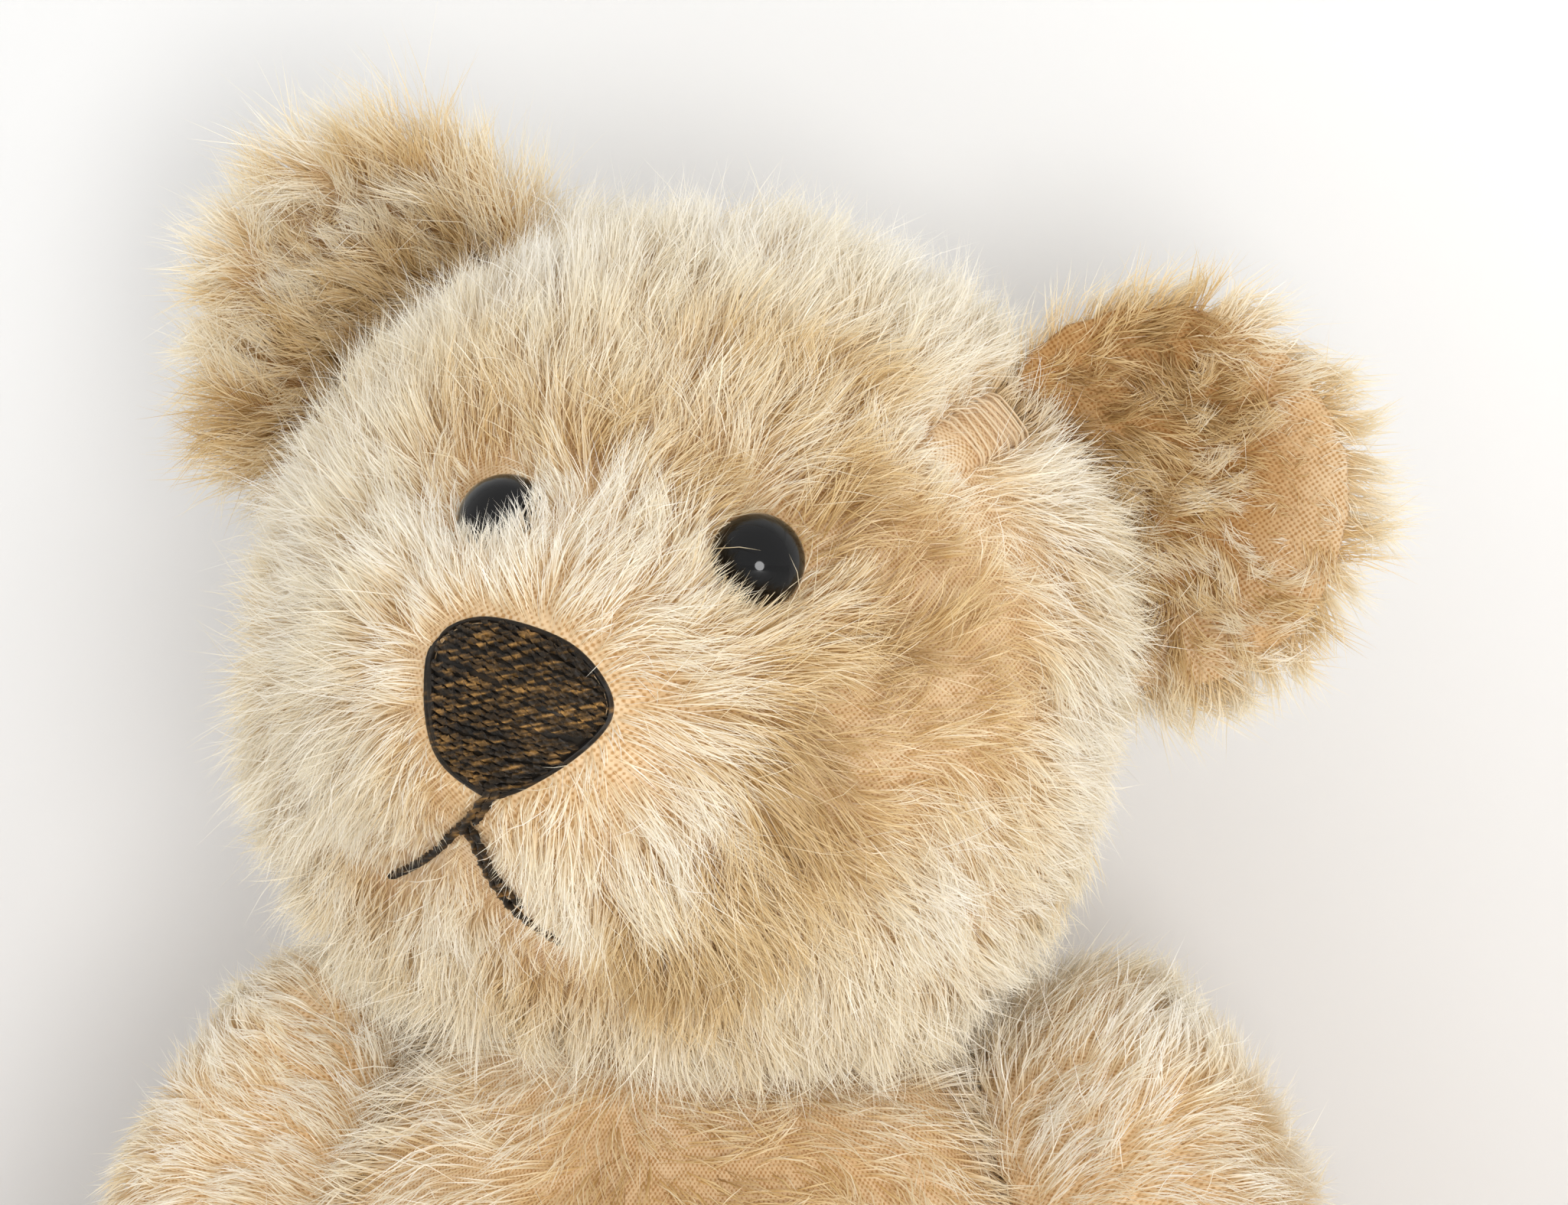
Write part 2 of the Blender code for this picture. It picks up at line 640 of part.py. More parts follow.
def make_mouth(pivot, centre):
    """Makes the mouth: an upright stitch below the nose and two long ones that meet under it."""
    lift = STITCH_RADIUS + GAP * 2.0
    corners = [(-0.0180, -0.0240), (-0.0140, -0.0210), (-0.0096, -0.0178), (-0.0062, -0.0150),
               (-0.0052, -0.0162), (-0.0044, -0.0188), (-0.0030, -0.0220), (-0.0010, -0.0247)]
    line = [centre + on_head(x, z, lift) for x, z in corners]
    make_wire("mouth_stitch", pivot, "nose_thread", line, STITCH_RADIUS)
    upright = [centre + on_head(-0.0044, -0.0125, lift), centre + on_head(-0.0053, -0.0133, lift)]
    make_wire("lip_stitch", pivot, "nose_thread", upright, STITCH_RADIUS)


def make_limb(name, form, side, pivot, disc, trims, segments, rings):
    """Makes a limb's cover and filling, drawn flat against the torso at its joint."""
    way = Vector((side, 0, 0))
    flats = [(way * GAP / 2, -way, disc + FLAT_MARGIN, None)]
    hole = make_cylinder(name + "_outer_hole", pivot, PIN_HOLE, -0.002, 0.006, way, 12)
    pockets = make_pocket(name + "_outer_room", pivot, way, disc, curls=False)
    bag = (limb_form(form, side), segments, rings, flats, trims)
    make_cover(bag, name + "_cover", pivot, [hole])
    make_filling(bag, name + "_filling", pivot, pockets)


def make_arm(label, side, pivot):
    """Makes an arm with a felt palm."""
    outward = Vector((0, math.sin(PALM_TILT), -math.cos(PALM_TILT)))
    palm = mirrored(arm_form(Vector((0, 0, -1))), side) - outward * 0.0050
    make_limb(f"{label}_arm", arm_form, side, pivot, ARM_DISC, [(palm, outward)], 18, 16)
    make_pad(f"{label}_palm_pad", pivot, palm + mirrored(PALM_SHIFT, side), outward, PALM_HALF_SIZES)


def make_leg(label, side, pivot):
    """Makes a leg with a felt sole, lying flat on the ground."""
    sole = Vector((side * LEG_STAND[-1][1], -LEG_AHEAD, LEG_BROAD[-1][1] - LEG_BROAD[0][1]))
    ahead = Vector((0, -1, 0))
    trims = [(sole, ahead), (Vector((0, 0, -HIP.z)), Vector((0, 0, -1)))]
    make_limb(f"{label}_leg", leg_form, side, pivot, LEG_DISC, trims, 18, 18)
    make_pad(f"{label}_sole_pad", pivot, sole, ahead, SOLE_HALF_SIZES)


def make_pad(name, pivot, point, outward, half_sizes):
    """Makes a flat oval of felt, face to face with the bag's flat."""
    bpy.ops.mesh.primitive_cylinder_add(vertices=24, radius=1.0, depth=PAD_THICKNESS)
    pad = place(bpy.context.object, name, pivot, "felt")
    pad.data.transform(Matrix.Diagonal((*half_sizes, 1.0, 1.0)))
    pad.location = point + outward * (GAP + PAD_THICKNESS / 2)
    pad.rotation_euler = outward.to_track_quat("Z", "Y").to_euler()
    shade(pad)


def main():
    """Builds the bear."""
    neck = make_pivot("neck_pivot", NECK, (0, HEAD_LEAN, 0))
    neck_base = make_pivot("neck_base", NECK, (0, HEAD_LEAN, 0))
    joints = [("neck", neck_base, Vector((0, 0, 1)), NECK_DISC)]
    limbs = []
    for label, side in SIDES:
        for kind, place_on_torso, radius in (("arm", SHOULDER, ARM_DISC), ("leg", HIP, LEG_DISC)):
            spot, turn = mirrored(place_on_torso, side), side_turn(kind, side)
            base = make_pivot(f"{label}_{kind}_base", spot, turn)
            pivot = make_pivot(f"{label}_{kind}_pivot", spot, turn)
            joints.append((f"{label}_{kind}", base, Vector((side, 0, 0)), radius))
            limbs.append((kind, label, side, pivot))
    bpy.context.view_layer.update()
    make_torso(joints)
    make_head(neck)
    make_joint("neck", neck_base, neck, Vector((0, 0, 1)), NECK_DISC)
    for (name, base, way, radius), (kind, label, side, pivot) in zip(joints[1:], limbs):
        (make_arm if kind == "arm" else make_leg)(label, side, pivot)
        make_joint(name, base, pivot, way, radius)
    bpy.context.view_layer.update()


clear_scene()
PARTS = make_collection("teddy_bear")
CUTTERS = make_collection("cutters")
MATERIALS = {name: make_material(name) for name in COLOURS}
main()
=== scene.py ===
"""An old, threadbare mohair teddy bear: its cloth, pile, stitching, eyes and the studio it sits in.

Everything is in metres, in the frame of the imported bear: it faces -Y, its left side is +X and +Z is up.
Each bag of the bear is a stuffed skin of woven cloth, and its coat is real strands of mohair, root to tip.
"""

import json
import logging
import math
from abc import ABC, abstractmethod
from collections.abc import Callable, Sequence
from dataclasses import dataclass, field, replace
from enum import Enum

import bmesh
import bpy
import numpy as np
from mathutils import Matrix, Vector
from mathutils.bvhtree import BVHTree

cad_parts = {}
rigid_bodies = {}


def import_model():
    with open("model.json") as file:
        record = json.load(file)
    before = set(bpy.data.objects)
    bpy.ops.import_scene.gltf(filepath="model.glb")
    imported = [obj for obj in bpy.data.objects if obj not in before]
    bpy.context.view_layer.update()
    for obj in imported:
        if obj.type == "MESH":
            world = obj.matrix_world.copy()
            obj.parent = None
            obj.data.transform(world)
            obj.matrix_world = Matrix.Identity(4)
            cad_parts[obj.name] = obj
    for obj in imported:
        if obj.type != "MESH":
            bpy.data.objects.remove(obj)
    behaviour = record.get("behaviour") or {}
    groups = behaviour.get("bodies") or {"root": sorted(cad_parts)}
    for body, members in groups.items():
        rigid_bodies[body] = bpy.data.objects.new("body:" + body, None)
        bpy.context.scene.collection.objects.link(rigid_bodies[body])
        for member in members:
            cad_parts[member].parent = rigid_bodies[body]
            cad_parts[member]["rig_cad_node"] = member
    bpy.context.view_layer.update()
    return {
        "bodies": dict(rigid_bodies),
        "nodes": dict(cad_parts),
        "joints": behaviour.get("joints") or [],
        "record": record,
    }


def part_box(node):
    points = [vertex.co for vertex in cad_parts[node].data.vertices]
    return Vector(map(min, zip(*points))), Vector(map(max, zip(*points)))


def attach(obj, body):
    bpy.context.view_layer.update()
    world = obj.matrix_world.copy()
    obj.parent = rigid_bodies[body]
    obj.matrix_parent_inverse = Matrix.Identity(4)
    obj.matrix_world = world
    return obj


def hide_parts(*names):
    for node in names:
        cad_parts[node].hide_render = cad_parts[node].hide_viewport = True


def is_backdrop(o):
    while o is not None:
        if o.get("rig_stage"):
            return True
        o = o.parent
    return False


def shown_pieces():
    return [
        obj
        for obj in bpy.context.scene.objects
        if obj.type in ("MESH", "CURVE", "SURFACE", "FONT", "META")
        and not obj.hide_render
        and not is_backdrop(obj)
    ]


LOG = logging.getLogger("teddy_bear")
Array = np.ndarray
Pattern = Callable[[Array], Array]
Socket = bpy.types.NodeSocket
Triple = tuple[float, float, float]

SIDES = (("left", 1), ("right", -1))

# Sizes that the bear's construction shares with its looks
NECK_BACK = 0.0040
NECK_HEIGHT = 0.0338
ARM_FORWARD = {1: math.radians(22.0), -1: math.radians(-3.0)}
EAR_PLACE = Vector((0.0395, 0.0060, 0.0230))
EAR_TURN = math.radians(12.0)
EAR_RADIUS = 0.0190
EYE_RADIUS = 0.0042


# ---- places
@dataclass(frozen=True)
class Place:
    """A piece's own axes: where its origin is and how it is turned.

    Attributes:
        origin: The origin in the bear's frame.
        turn: The rotation from the piece's axes to the bear's.
    """

    origin: Vector
    turn: Matrix

    def local(self, points: Array) -> Array:
        """Gives points of the bear's frame in the piece's own axes."""
        return (points - np.array(self.origin)) @ np.array(self.turn)

    def out(self, vectors: Array) -> Array:
        """Turns vectors of the piece's own axes into the bear's frame."""
        return vectors @ np.array(self.turn).T

    def point(self, spot: Sequence[float]) -> Vector:
        """Gives one point of the piece's own axes in the bear's frame."""
        return self.origin + self.turn @ Vector(spot)


def joint_named(frame: dict, name: str) -> tuple[Vector, Vector]:
    """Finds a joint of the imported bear.

    Args:
        name: The joint's name.

    Returns:
        The joint's place and its axis.
    """
    joint = next(joint for joint in frame["joints"] if joint["name"] == name)
    return Vector(joint["pos_m"]), Vector(joint["axis"])


def head_place(frame: dict) -> Place:
    """Works out the head's own axes, with the origin in the middle of the head, from the neck joint."""
    spot, axis = joint_named(frame, "neck_turn")
    turn = Matrix.Rotation(math.atan2(axis.x, axis.z), 3, "Y")
    return Place(spot + turn @ Vector((0, -NECK_BACK, NECK_HEIGHT)), turn)


def arm_place(frame: dict, label: str, side: int) -> Place:
    """Works out an arm's own axes, which run down the hanging arm, from its shoulder joint."""
    spot, axis = joint_named(frame, f"{label}_shoulder")
    slope = Matrix.Rotation(-side * math.atan2(abs(axis.z), abs(axis.x)), 3, "Y")
    return Place(spot, slope @ Matrix.Rotation(-ARM_FORWARD[side], 3, "X"))


def leg_place(frame: dict, label: str, side: int) -> Place:
    """Works out a leg's own axes, which run ahead along the leg, from its hip joint."""
    spot, axis = joint_named(frame, f"{label}_hip")
    return Place(spot, Matrix.Rotation(side * math.atan2(abs(axis.y), abs(axis.x)), 3, "Z"))


def ear_place(head: Place, side: int) -> Place:
    """Works out an ear's own axes from the head's."""
    spot = head.point((side * EAR_PLACE.x, EAR_PLACE.y, EAR_PLACE.z))
    return Place(spot, head.turn @ Matrix.Rotation(side * EAR_TURN, 3, "Z"))


# ---- finishes
def linear(red: int, green: int, blue: int) -> tuple[float, float, float, float]:
    """Turns a colour as it is seen, 0 to 255, into the linear colour that a shader takes."""
    seen = [value / 255 for value in (red, green, blue)]
    return (*[share / 12.92 if share <= 0.04045 else ((share + 0.055) / 1.055) ** 2.4 for share in seen], 1.0)


SOCKETS = {
    "metallic": "Metallic",
    "roughness": "Roughness",
    "specular": "Specular IOR Level",
    "sheen": "Sheen Weight",
    "sheen_roughness": "Sheen Roughness",
    "coat": "Coat Weight",
    "coat_roughness": "Coat Roughness",
}


class Recipe:
    """A material's nodes, made and linked one after another."""

    def __init__(self, name: str, **sockets: float | tuple) -> None:
        """Starts a Principled material.

        Args:
            name: The material's name.
            **sockets: Values of the shader's sockets, by the names in SOCKETS.
        """
        self.material = bpy.data.materials.new(name)
        self.material.use_nodes = True
        self.tree = self.material.node_tree
        self.shader = self.tree.nodes["Principled BSDF"]
        for key, value in sockets.items():
            self.shader.inputs[SOCKETS[key]].default_value = value

    def node(self, kind: str, settings: dict | None = None, **inputs: object) -> bpy.types.Node:
        """Adds a node.

        Args:
            kind: The node's type, without its Shader Node prefix.
            settings: The node's own properties.
            **inputs: Its inputs by name or, with a leading i, by number: a value or the output that feeds it.

        Returns:
            The node.
        """
        made = self.tree.nodes.new("ShaderNode" + kind)
        for key, value in (settings or {}).items():
            setattr(made, key, value)
        for key, value in inputs.items():
            socket = made.inputs[int(key[1:])] if key[1:].isdigit() else made.inputs[key.replace("_", " ")]
            self.feed(socket, value)
        return made

    def feed(self, socket: Socket, value: object) -> None:
        """Links an output to a socket, or sets the socket's own value."""
        if isinstance(value, Socket):
            self.tree.links.new(value, socket)
        else:
            socket.default_value = value

    def ramp(self, share: Socket, stops: dict[float, tuple[int, int, int]]) -> Socket:
        """Adds a colour ramp.

        Args:
            share: The output that the ramp reads.
            stops: The colours, as seen, by their places on the ramp, 0 to 1.

        Returns:
            The ramp's colour.
        """
        node = self.node("ValToRGB", i0=share)
        elements = node.color_ramp.elements
        first, *between, last = [(place, linear(*colour)) for place, colour in stops.items()]
        elements[0].position, elements[0].color = first
        elements[1].position, elements[1].color = last
        for place, colour in between:
            elements.new(place).color = colour
        return node.outputs["Color"]

    def mix(self, share: object, first: object, second: object, blend: str = "MIX") -> Socket:
        """Mixes two colours and returns the mixed one."""
        node = self.node("Mix", {"data_type": "RGBA", "blend_type": blend}, i0=share, i6=first, i7=second)
        return node.outputs[2]

    def math(self, operation: str, first: object, second: object = 0.0) -> Socket:
        """Works out one number from two others."""
        return self.node("Math", {"operation": operation}, i0=first, i1=second).outputs[0]

    def rise(self, value: Socket, low: float, high: float) -> Socket:
        """Rises smoothly from 0 at low to 1 at high."""
        node = self.node("MapRange", {"interpolation_type": "SMOOTHSTEP"}, Value=value, i1=low, i2=high)
        return node.outputs[0]

    def noise(self, vector: Socket, scale: float, detail: float = 2.0) -> Socket:
        """Adds a noise pattern and returns its value."""
        return self.node("TexNoise", None, Vector=vector, Scale=scale, Detail=detail).outputs[0]

    def own_space(self) -> Socket:
        """Gives the piece's own coordinates."""
        return self.node("TexCoord").outputs["Object"]

    def turned(self, angle: float, stretch: Triple) -> Socket:
        """Gives the piece's own coordinates, turned about Y and then stretched."""
        straight = self.node("Mapping", None, Vector=self.own_space(), Rotation=(0.0, angle, 0.0)).outputs[0]
        return self.node("VectorMath", {"operation": "MULTIPLY"}, i0=straight, i1=stretch).outputs[0]

    def bump(self, height: Socket, strength: float, distance: float) -> None:
        """Raises the surface by a height pattern."""
        bump = self.node("Bump", None, Height=height, Strength=strength, Distance=distance)
        self.feed(self.shader.inputs["Normal"], bump.outputs[0])

    def colour(self, value: object) -> None:
        """Gives the shader its base colour."""
        self.feed(self.shader.inputs["Base Color"], value)

    def mix_in(self, share: object, other: bpy.types.Node) -> None:
        """Mixes a share of another shader into the surface."""
        mixed = self.node("MixShader", None, i0=share, i1=self.shader.outputs[0], i2=other.outputs[0])
        self.feed(self.tree.nodes["Material Output"].inputs["Surface"], mixed.outputs[0])


class Finish(ABC):
    """A finish that any number of pieces share. Its name is its material's name."""

    _made: dict["Finish", bpy.types.Material] = {}

    @abstractmethod
    def make(self) -> bpy.types.Material:
        """Makes the material."""

    def material(self) -> bpy.types.Material:
        """Returns the finish's material, made the first time that it is asked for."""
        if self not in Finish._made:
            Finish._made[self] = self.make()
        return Finish._made[self]


@dataclass(frozen=True)
class Mohair(Finish):
    """Strands of mohair, from a golden root to a pale tip. U runs from root to tip and V from dark to pale.

    Attributes:
        glow: The share of light that passes through a strand.
    """

    name: str = "mohair_strands"
    glow: float = 0.22

    def make(self) -> bpy.types.Material:
        """Makes the material."""
        recipe = Recipe(self.name, roughness=0.32, specular=0.7)
        parts = recipe.node("SeparateXYZ", None, i0=recipe.node("UVMap", {"uv_map": "OFBake"}).outputs[0])
        along, tone = parts.outputs[0], parts.outputs[1]
        root = recipe.ramp(tone, {0.0: (148, 110, 60), 0.3: (214, 178, 114), 0.6: (238, 210, 158),
                                  1.0: (250, 234, 202)})
        tip = recipe.ramp(tone, {0.0: (184, 146, 90), 0.3: (238, 212, 160), 0.6: (252, 243, 220),
                                 1.0: (255, 252, 244)})
        colour = recipe.mix(recipe.rise(along, 0.05, 0.75), root, tip)
        recipe.colour(colour)
        recipe.mix_in(self.glow, recipe.node("BsdfTranslucent", None, Color=colour))
        return recipe.material


@dataclass(frozen=True)
class Backing(Finish):
    """The woven cotton cloth that the pile grows from, showing where the pile has worn away.

    It reads the cloth attribute: where each point is along the warp and the weft, and how much soil, and on
    the ears painted shade, darkens it.

    Attributes:
        pitch: The distance between two threads.
    """

    name: str = "woven_backing"
    pitch: float = 0.00031

    def make(self) -> bpy.types.Material:
        """Makes the material."""
        recipe = Recipe(self.name, roughness=0.9, specular=0.2, sheen=0.15)
        cloth = recipe.node("Attribute", {"attribute_name": "cloth"}).outputs["Vector"]
        parts = recipe.node("SeparateXYZ", None, i0=cloth)
        turns = math.pi / self.pitch
        warp = recipe.math("SINE", recipe.math("MULTIPLY", parts.outputs[0], turns))
        weft = recipe.math("SINE", recipe.math("MULTIPLY", parts.outputs[1], turns))
        weave = recipe.math("MULTIPLY", warp, weft)
        own = recipe.own_space()
        slub = recipe.noise(own, 900.0, 3.0)
        height = recipe.math("ADD", recipe.math("MULTIPLY", weave, 0.45), slub)
        shade = recipe.ramp(recipe.noise(own, 90.0, 3.0),
                            {0.3: (234, 200, 152), 0.5: (242, 214, 174), 0.7: (248, 226, 194)})
        # painted shade: the weave's low places, between its threads, are coloured dark golden brown
        woven = recipe.mix(recipe.rise(height, 0.05, 0.65), linear(196, 154, 102), shade)
        # the cloth attribute's third value darkens the cloth: soil, and painted shade on the ears
        recipe.colour(recipe.mix(parts.outputs[2], woven, linear(194, 172, 140), "MULTIPLY"))
        recipe.bump(height, 0.6, 0.00012)
        return recipe.material


@dataclass(frozen=True)
class Embroidery(Finish):
    """Black cotton thread, faded to brown and gold where it has been rubbed.

    Attributes:
        lean: The angle of the head, which the laid threads follow.
        faded: How much of it has faded, 0 to 1.
    """

    name: str
    lean: float
    faded: float = 0.5

    def make(self) -> bpy.types.Material:
        """Makes the material."""
        recipe = Recipe(self.name, roughness=0.5, specular=0.25, sheen=0.05)
        along = recipe.noise(recipe.turned(self.lean, (320.0, 320.0, 2400.0)), 1.0, 2.0)
        patch = recipe.noise(recipe.own_space(), 260.0, 2.0)
        fibre = recipe.noise(recipe.own_space(), 2600.0, 2.0)
        fade = recipe.math("ADD", recipe.math("MULTIPLY", patch, 0.35), recipe.math("MULTIPLY", along, 0.65))
        low = 0.60 - 0.2 * self.faded
        shade = recipe.ramp(fade, {low - 0.12: (30, 24, 16), low: (58, 44, 26), low + 0.07: (108, 80, 42),
                                   low + 0.15: (186, 140, 78)})
        # painted shade: the thread darkens towards black where its fibre pattern is low, between the fibres
        between = recipe.mix(0.45, shade, linear(14, 11, 9))
        recipe.colour(recipe.mix(recipe.rise(fibre, 0.35, 0.75), between, shade))
        recipe.bump(fibre, 0.4, 0.00006)
        return recipe.material


@dataclass(frozen=True)
class Plain(Finish):
    """A plain finish with a fine grain.

    Attributes:
        tint: Its colour as seen.
        roughness: How dull it is.
        metallic: 1 for metal.
        grain: The size of its grain's pattern, as a scale.
        contrast: How far the grain darkens it.
        relief: The height of its bumps.
        specular: How much it shines.
    """

    name: str
    tint: tuple[int, int, int]
    roughness: float = 0.6
    metallic: float = 0.0
    grain: float = 600.0
    contrast: float = 0.25
    relief: float = 0.0001
    specular: float = 0.5

    def make(self) -> bpy.types.Material:
        """Makes the material."""
        recipe = Recipe(self.name, metallic=self.metallic, roughness=self.roughness, specular=self.specular)
        grain = recipe.noise(recipe.own_space(), self.grain, 4.0)
        bright = linear(*self.tint)
        dark = (*[value * (1 - self.contrast) for value in bright[:3]], 1.0)
        recipe.colour(recipe.mix(grain, dark, bright))
        recipe.bump(grain, 0.4, self.relief)
        return recipe.material


MOHAIR = Mohair()
BACKING = Backing()
FELT = Plain("worn_felt", (186, 150, 104), roughness=0.95, grain=1400.0, contrast=0.35, relief=0.0002)
BUTTON = Plain("button_black", (9, 9, 10), roughness=0.07, grain=300.0, contrast=0.3, relief=0.000003,
               specular=0.3)
STEEL = Plain("dull_steel", (150, 146, 138), roughness=0.45, metallic=1.0, grain=900.0, contrast=0.3)
BOARD = Plain("fibreboard", (120, 92, 62), roughness=0.85, grain=1600.0, contrast=0.45)
WOOL = Plain("wood_wool", (196, 164, 110), roughness=0.95, grain=700.0, contrast=0.6)
SEWING = Plain("sewing_thread", (240, 214, 176), roughness=0.6, grain=1500.0, contrast=0.25)


# ---- mesh helpers
def only(obj: bpy.types.Object) -> None:
    """Selects one object and makes it the active one."""
    bpy.ops.object.select_all(action="DESELECT")
    obj.select_set(True)
    bpy.context.view_layer.objects.active = obj


def put_in(name: str, data: bpy.types.ID) -> bpy.types.Object:
    """Puts a new object in the scene."""
    obj = bpy.data.objects.new(name, data)
    bpy.context.scene.collection.objects.link(obj)
    return obj


def start_from(name: str, add: Callable[..., object], **sizes: object) -> bpy.types.Object:
    """Adds a primitive with nothing else selected, and names it.

    Args:
        name: The object's name.
        add: The operator that adds it.
        **sizes: The operator's own settings.

    Returns:
        The object.
    """
    bpy.ops.object.select_all(action="DESELECT")
    add(**sizes)
    obj = bpy.context.object
    obj.name = obj.data.name = name
    return obj


def face_outwards(obj: bpy.types.Object, merge: float = 0.0) -> None:
    """Turns a closed mesh's faces outwards, with points closer than merge made one first."""
    only(obj)
    bpy.ops.object.mode_set(mode="EDIT")
    bpy.ops.mesh.select_all(action="SELECT")
    if merge:
        bpy.ops.mesh.remove_doubles(threshold=merge)
    bpy.ops.mesh.normals_make_consistent(inside=False)
    bpy.ops.object.mode_set(mode="OBJECT")


def hand_over(obj: bpy.types.Object, finish: Finish, body: str, node: str = "") -> None:
    """Gives a piece its finish and its place in the bear.

    Args:
        obj: The piece.
        finish: Its finish.
        body: The body that it rides on.
        node: The CAD node that it stands for, if any.
    """
    obj.data.materials.clear()
    obj.data.materials.append(finish.material())
    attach(obj, body)
    if node:
        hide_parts(node)


def lay_weave(obj: bpy.types.Object, spots: Array) -> None:
    """Writes, for the backing's weave, each point's place on the cloth and how soiled it is."""
    attribute = obj.data.attributes.new("cloth", "FLOAT_VECTOR", "POINT")
    attribute.data.foreach_set("vector", spots.astype(np.float32).ravel())


def apply_all(obj: bpy.types.Object) -> None:
    """Applies all of an object's modifiers, in order."""
    only(obj)
    for modifier in list(obj.modifiers):
        bpy.ops.object.modifier_apply(modifier=modifier.name)


def move_points(obj: bpy.types.Object, points: Array) -> None:
    """Moves a mesh's points to new places."""
    obj.data.vertices.foreach_set("co", points.astype(np.float32).ravel())
    obj.data.update()


def outer_skin(node: str, name: str) -> bpy.types.Object:
    """Copies the outer surface of a CAD cover and closes the pin holes in it.

    Args:
        node: The CAD node, a shell with holes.
        name: The new object's name.

    Returns:
        A closed surface.
    """
    skin = put_in(name, bpy.data.objects[node].data.copy())
    only(skin)
    bpy.ops.object.mode_set(mode="EDIT")
    bpy.ops.mesh.select_all(action="SELECT")
    bpy.ops.mesh.remove_doubles(threshold=1e-6)
    bpy.ops.mesh.select_all(action="DESELECT")
    mesh = bmesh.from_edit_mesh(skin.data)
    tree = BVHTree.FromBMesh(mesh)
    for face in mesh.faces:
        start = face.calc_center_median() + face.normal * 1e-5
        face.select = tree.ray_cast(start, face.normal, 0.3)[0] is not None
    bmesh.update_edit_mesh(skin.data)
    bpy.ops.mesh.delete(type="FACE")
    bpy.ops.mesh.select_all(action="SELECT")
    bpy.ops.mesh.fill_holes(sides=0)
    bpy.ops.object.mode_set(mode="OBJECT")
    face_outwards(skin)
    return skin


def remesh(obj: bpy.types.Object, size: float, smoothing: int) -> None:
    """Gives a closed surface an even mesh and rounds off its facets.

    Args:
        obj: The object.
        size: The even mesh's pitch.
        smoothing: How many times each point moves halfway to its neighbours' middle.
    """
    only(obj)
    obj.data.remesh_voxel_size = size
    obj.data.remesh_voxel_adaptivity = 0.0
    bpy.ops.object.voxel_remesh()
    smooth = obj.modifiers.new("rounding", "SMOOTH")
    smooth.factor = 0.5
    smooth.iterations = smoothing
    apply_all(obj)
    bpy.ops.object.shade_smooth()


def mesh_points(data: bpy.types.Mesh, what: str = "co") -> Array:
    """Reads a mesh's points, or the normals at them."""
    values = np.empty(len(data.vertices) * 3)
    data.vertices.foreach_get(what, values)
    return values.reshape(-1, 3)


def unit(vectors: Array) -> Array:
    """Gives vectors the length of 1."""
    return vectors / np.maximum(np.linalg.norm(vectors, axis=-1, keepdims=True), 1e-12)


def dot(first: Array, second: Array) -> Array:
    """The dot product of each pair of vectors, as a column."""
    return np.sum(first * second, axis=-1, keepdims=True)


def swing(vectors: Array, axes: Array, angles: Array) -> Array:
    """Turns vectors that lie square to their axes about them."""
    return vectors * np.cos(angles)[:, None] + np.cross(axes, vectors) * np.sin(angles)[:, None]


# ---- patterns in numbers
def rise(values: Array, low: float, high: float) -> Array:
    """Rises smoothly from 0 at low to 1 at high. Low may be above high."""
    share = np.clip((values - low) / (high - low), 0, 1)
    return share * share * (3 - 2 * share)


def near(points: Array, middle: Sequence[float], radius: float) -> Array:
    """A soft round patch: 1 in its middle, fading over its radius."""
    return np.exp(-np.sum((points - np.array(middle)) ** 2, axis=-1) / radius**2)


def mirrored(points: Array) -> Array:
    """Brings points of the right side over to the left."""
    return np.hstack([np.abs(points[:, :1]), points[:, 1:]])


def changed(values: Array, *changes: tuple[float, Array]) -> Array:
    """Makes values larger or smaller, each time by a share where a pattern is 1.

    Args:
        values: The values.
        *changes: Shares and their patterns; a share below 0 makes them smaller.

    Returns:
        The changed values.
    """
    for share, pattern in changes:
        values = values * (1 + share * pattern)
    return values


def near_line(points: Array, line: Sequence[Sequence[float]], radius: float) -> Array:
    """A soft band along a line of points."""
    nearest = np.full(len(points), np.inf)
    for start, end in zip(line, line[1:]):
        a, b = np.array(start), np.array(end)
        share = np.clip(((points - a) @ (b - a)) / np.sum((b - a) ** 2), 0, 1)[:, None]
        nearest = np.minimum(nearest, np.sum((points - a - share * (b - a)) ** 2, axis=-1))
    return np.exp(-nearest / radius**2)


def through(a: Array, b: Array, c: Array, d: Array, t: Array) -> Array:
    """Gives points of the smooth curve from b, where t is 0, to c, where t is 1, with a before and d after."""
    return 0.5 * (2 * b + (c - a) * t + (2 * a - 5 * b + 4 * c - d) * t**2 + (3 * b - a - 3 * c + d) * t**3)


def ripples(points: Array, pitch: float, seed: int) -> Array:
    """A smooth random pattern between about -1 and 1.

    Args:
        points: Where it is read.
        pitch: The size of its waves.
        seed: Which pattern it is.

    Returns:
        Its values.
    """
    rng = np.random.default_rng(seed)
    ways = unit(rng.normal(size=(7, 3)))
    pitches = pitch * rng.uniform(0.7, 1.5, 7)
    phases = rng.uniform(0, 2 * math.pi, 7)
    return np.sin(points @ ways.T * (2 * math.pi / pitches) + phases).sum(axis=1) / 2.6


def scrambled(cells: Array, seed: int) -> Array:
    """Gives each cell of a grid four numbers of its own, 0 to 1."""
    mixed = (cells.astype(np.int64) * np.array([73856093, 19349663, 83492791])).sum(axis=1).astype(np.uint64)
    mixed = mixed * np.uint64(6364136223846793005) + np.uint64(seed * 2 + 1)
    numbers = []
    for _ in range(4):
        mixed = mixed ^ (mixed >> np.uint64(29))
        mixed = mixed * np.uint64(0xBF58476D1CE4E5B9)
        mixed = mixed ^ (mixed >> np.uint64(32))
        numbers.append((mixed >> np.uint64(11)).astype(np.float64) / float(1 << 53))
    return np.stack(numbers, axis=1)


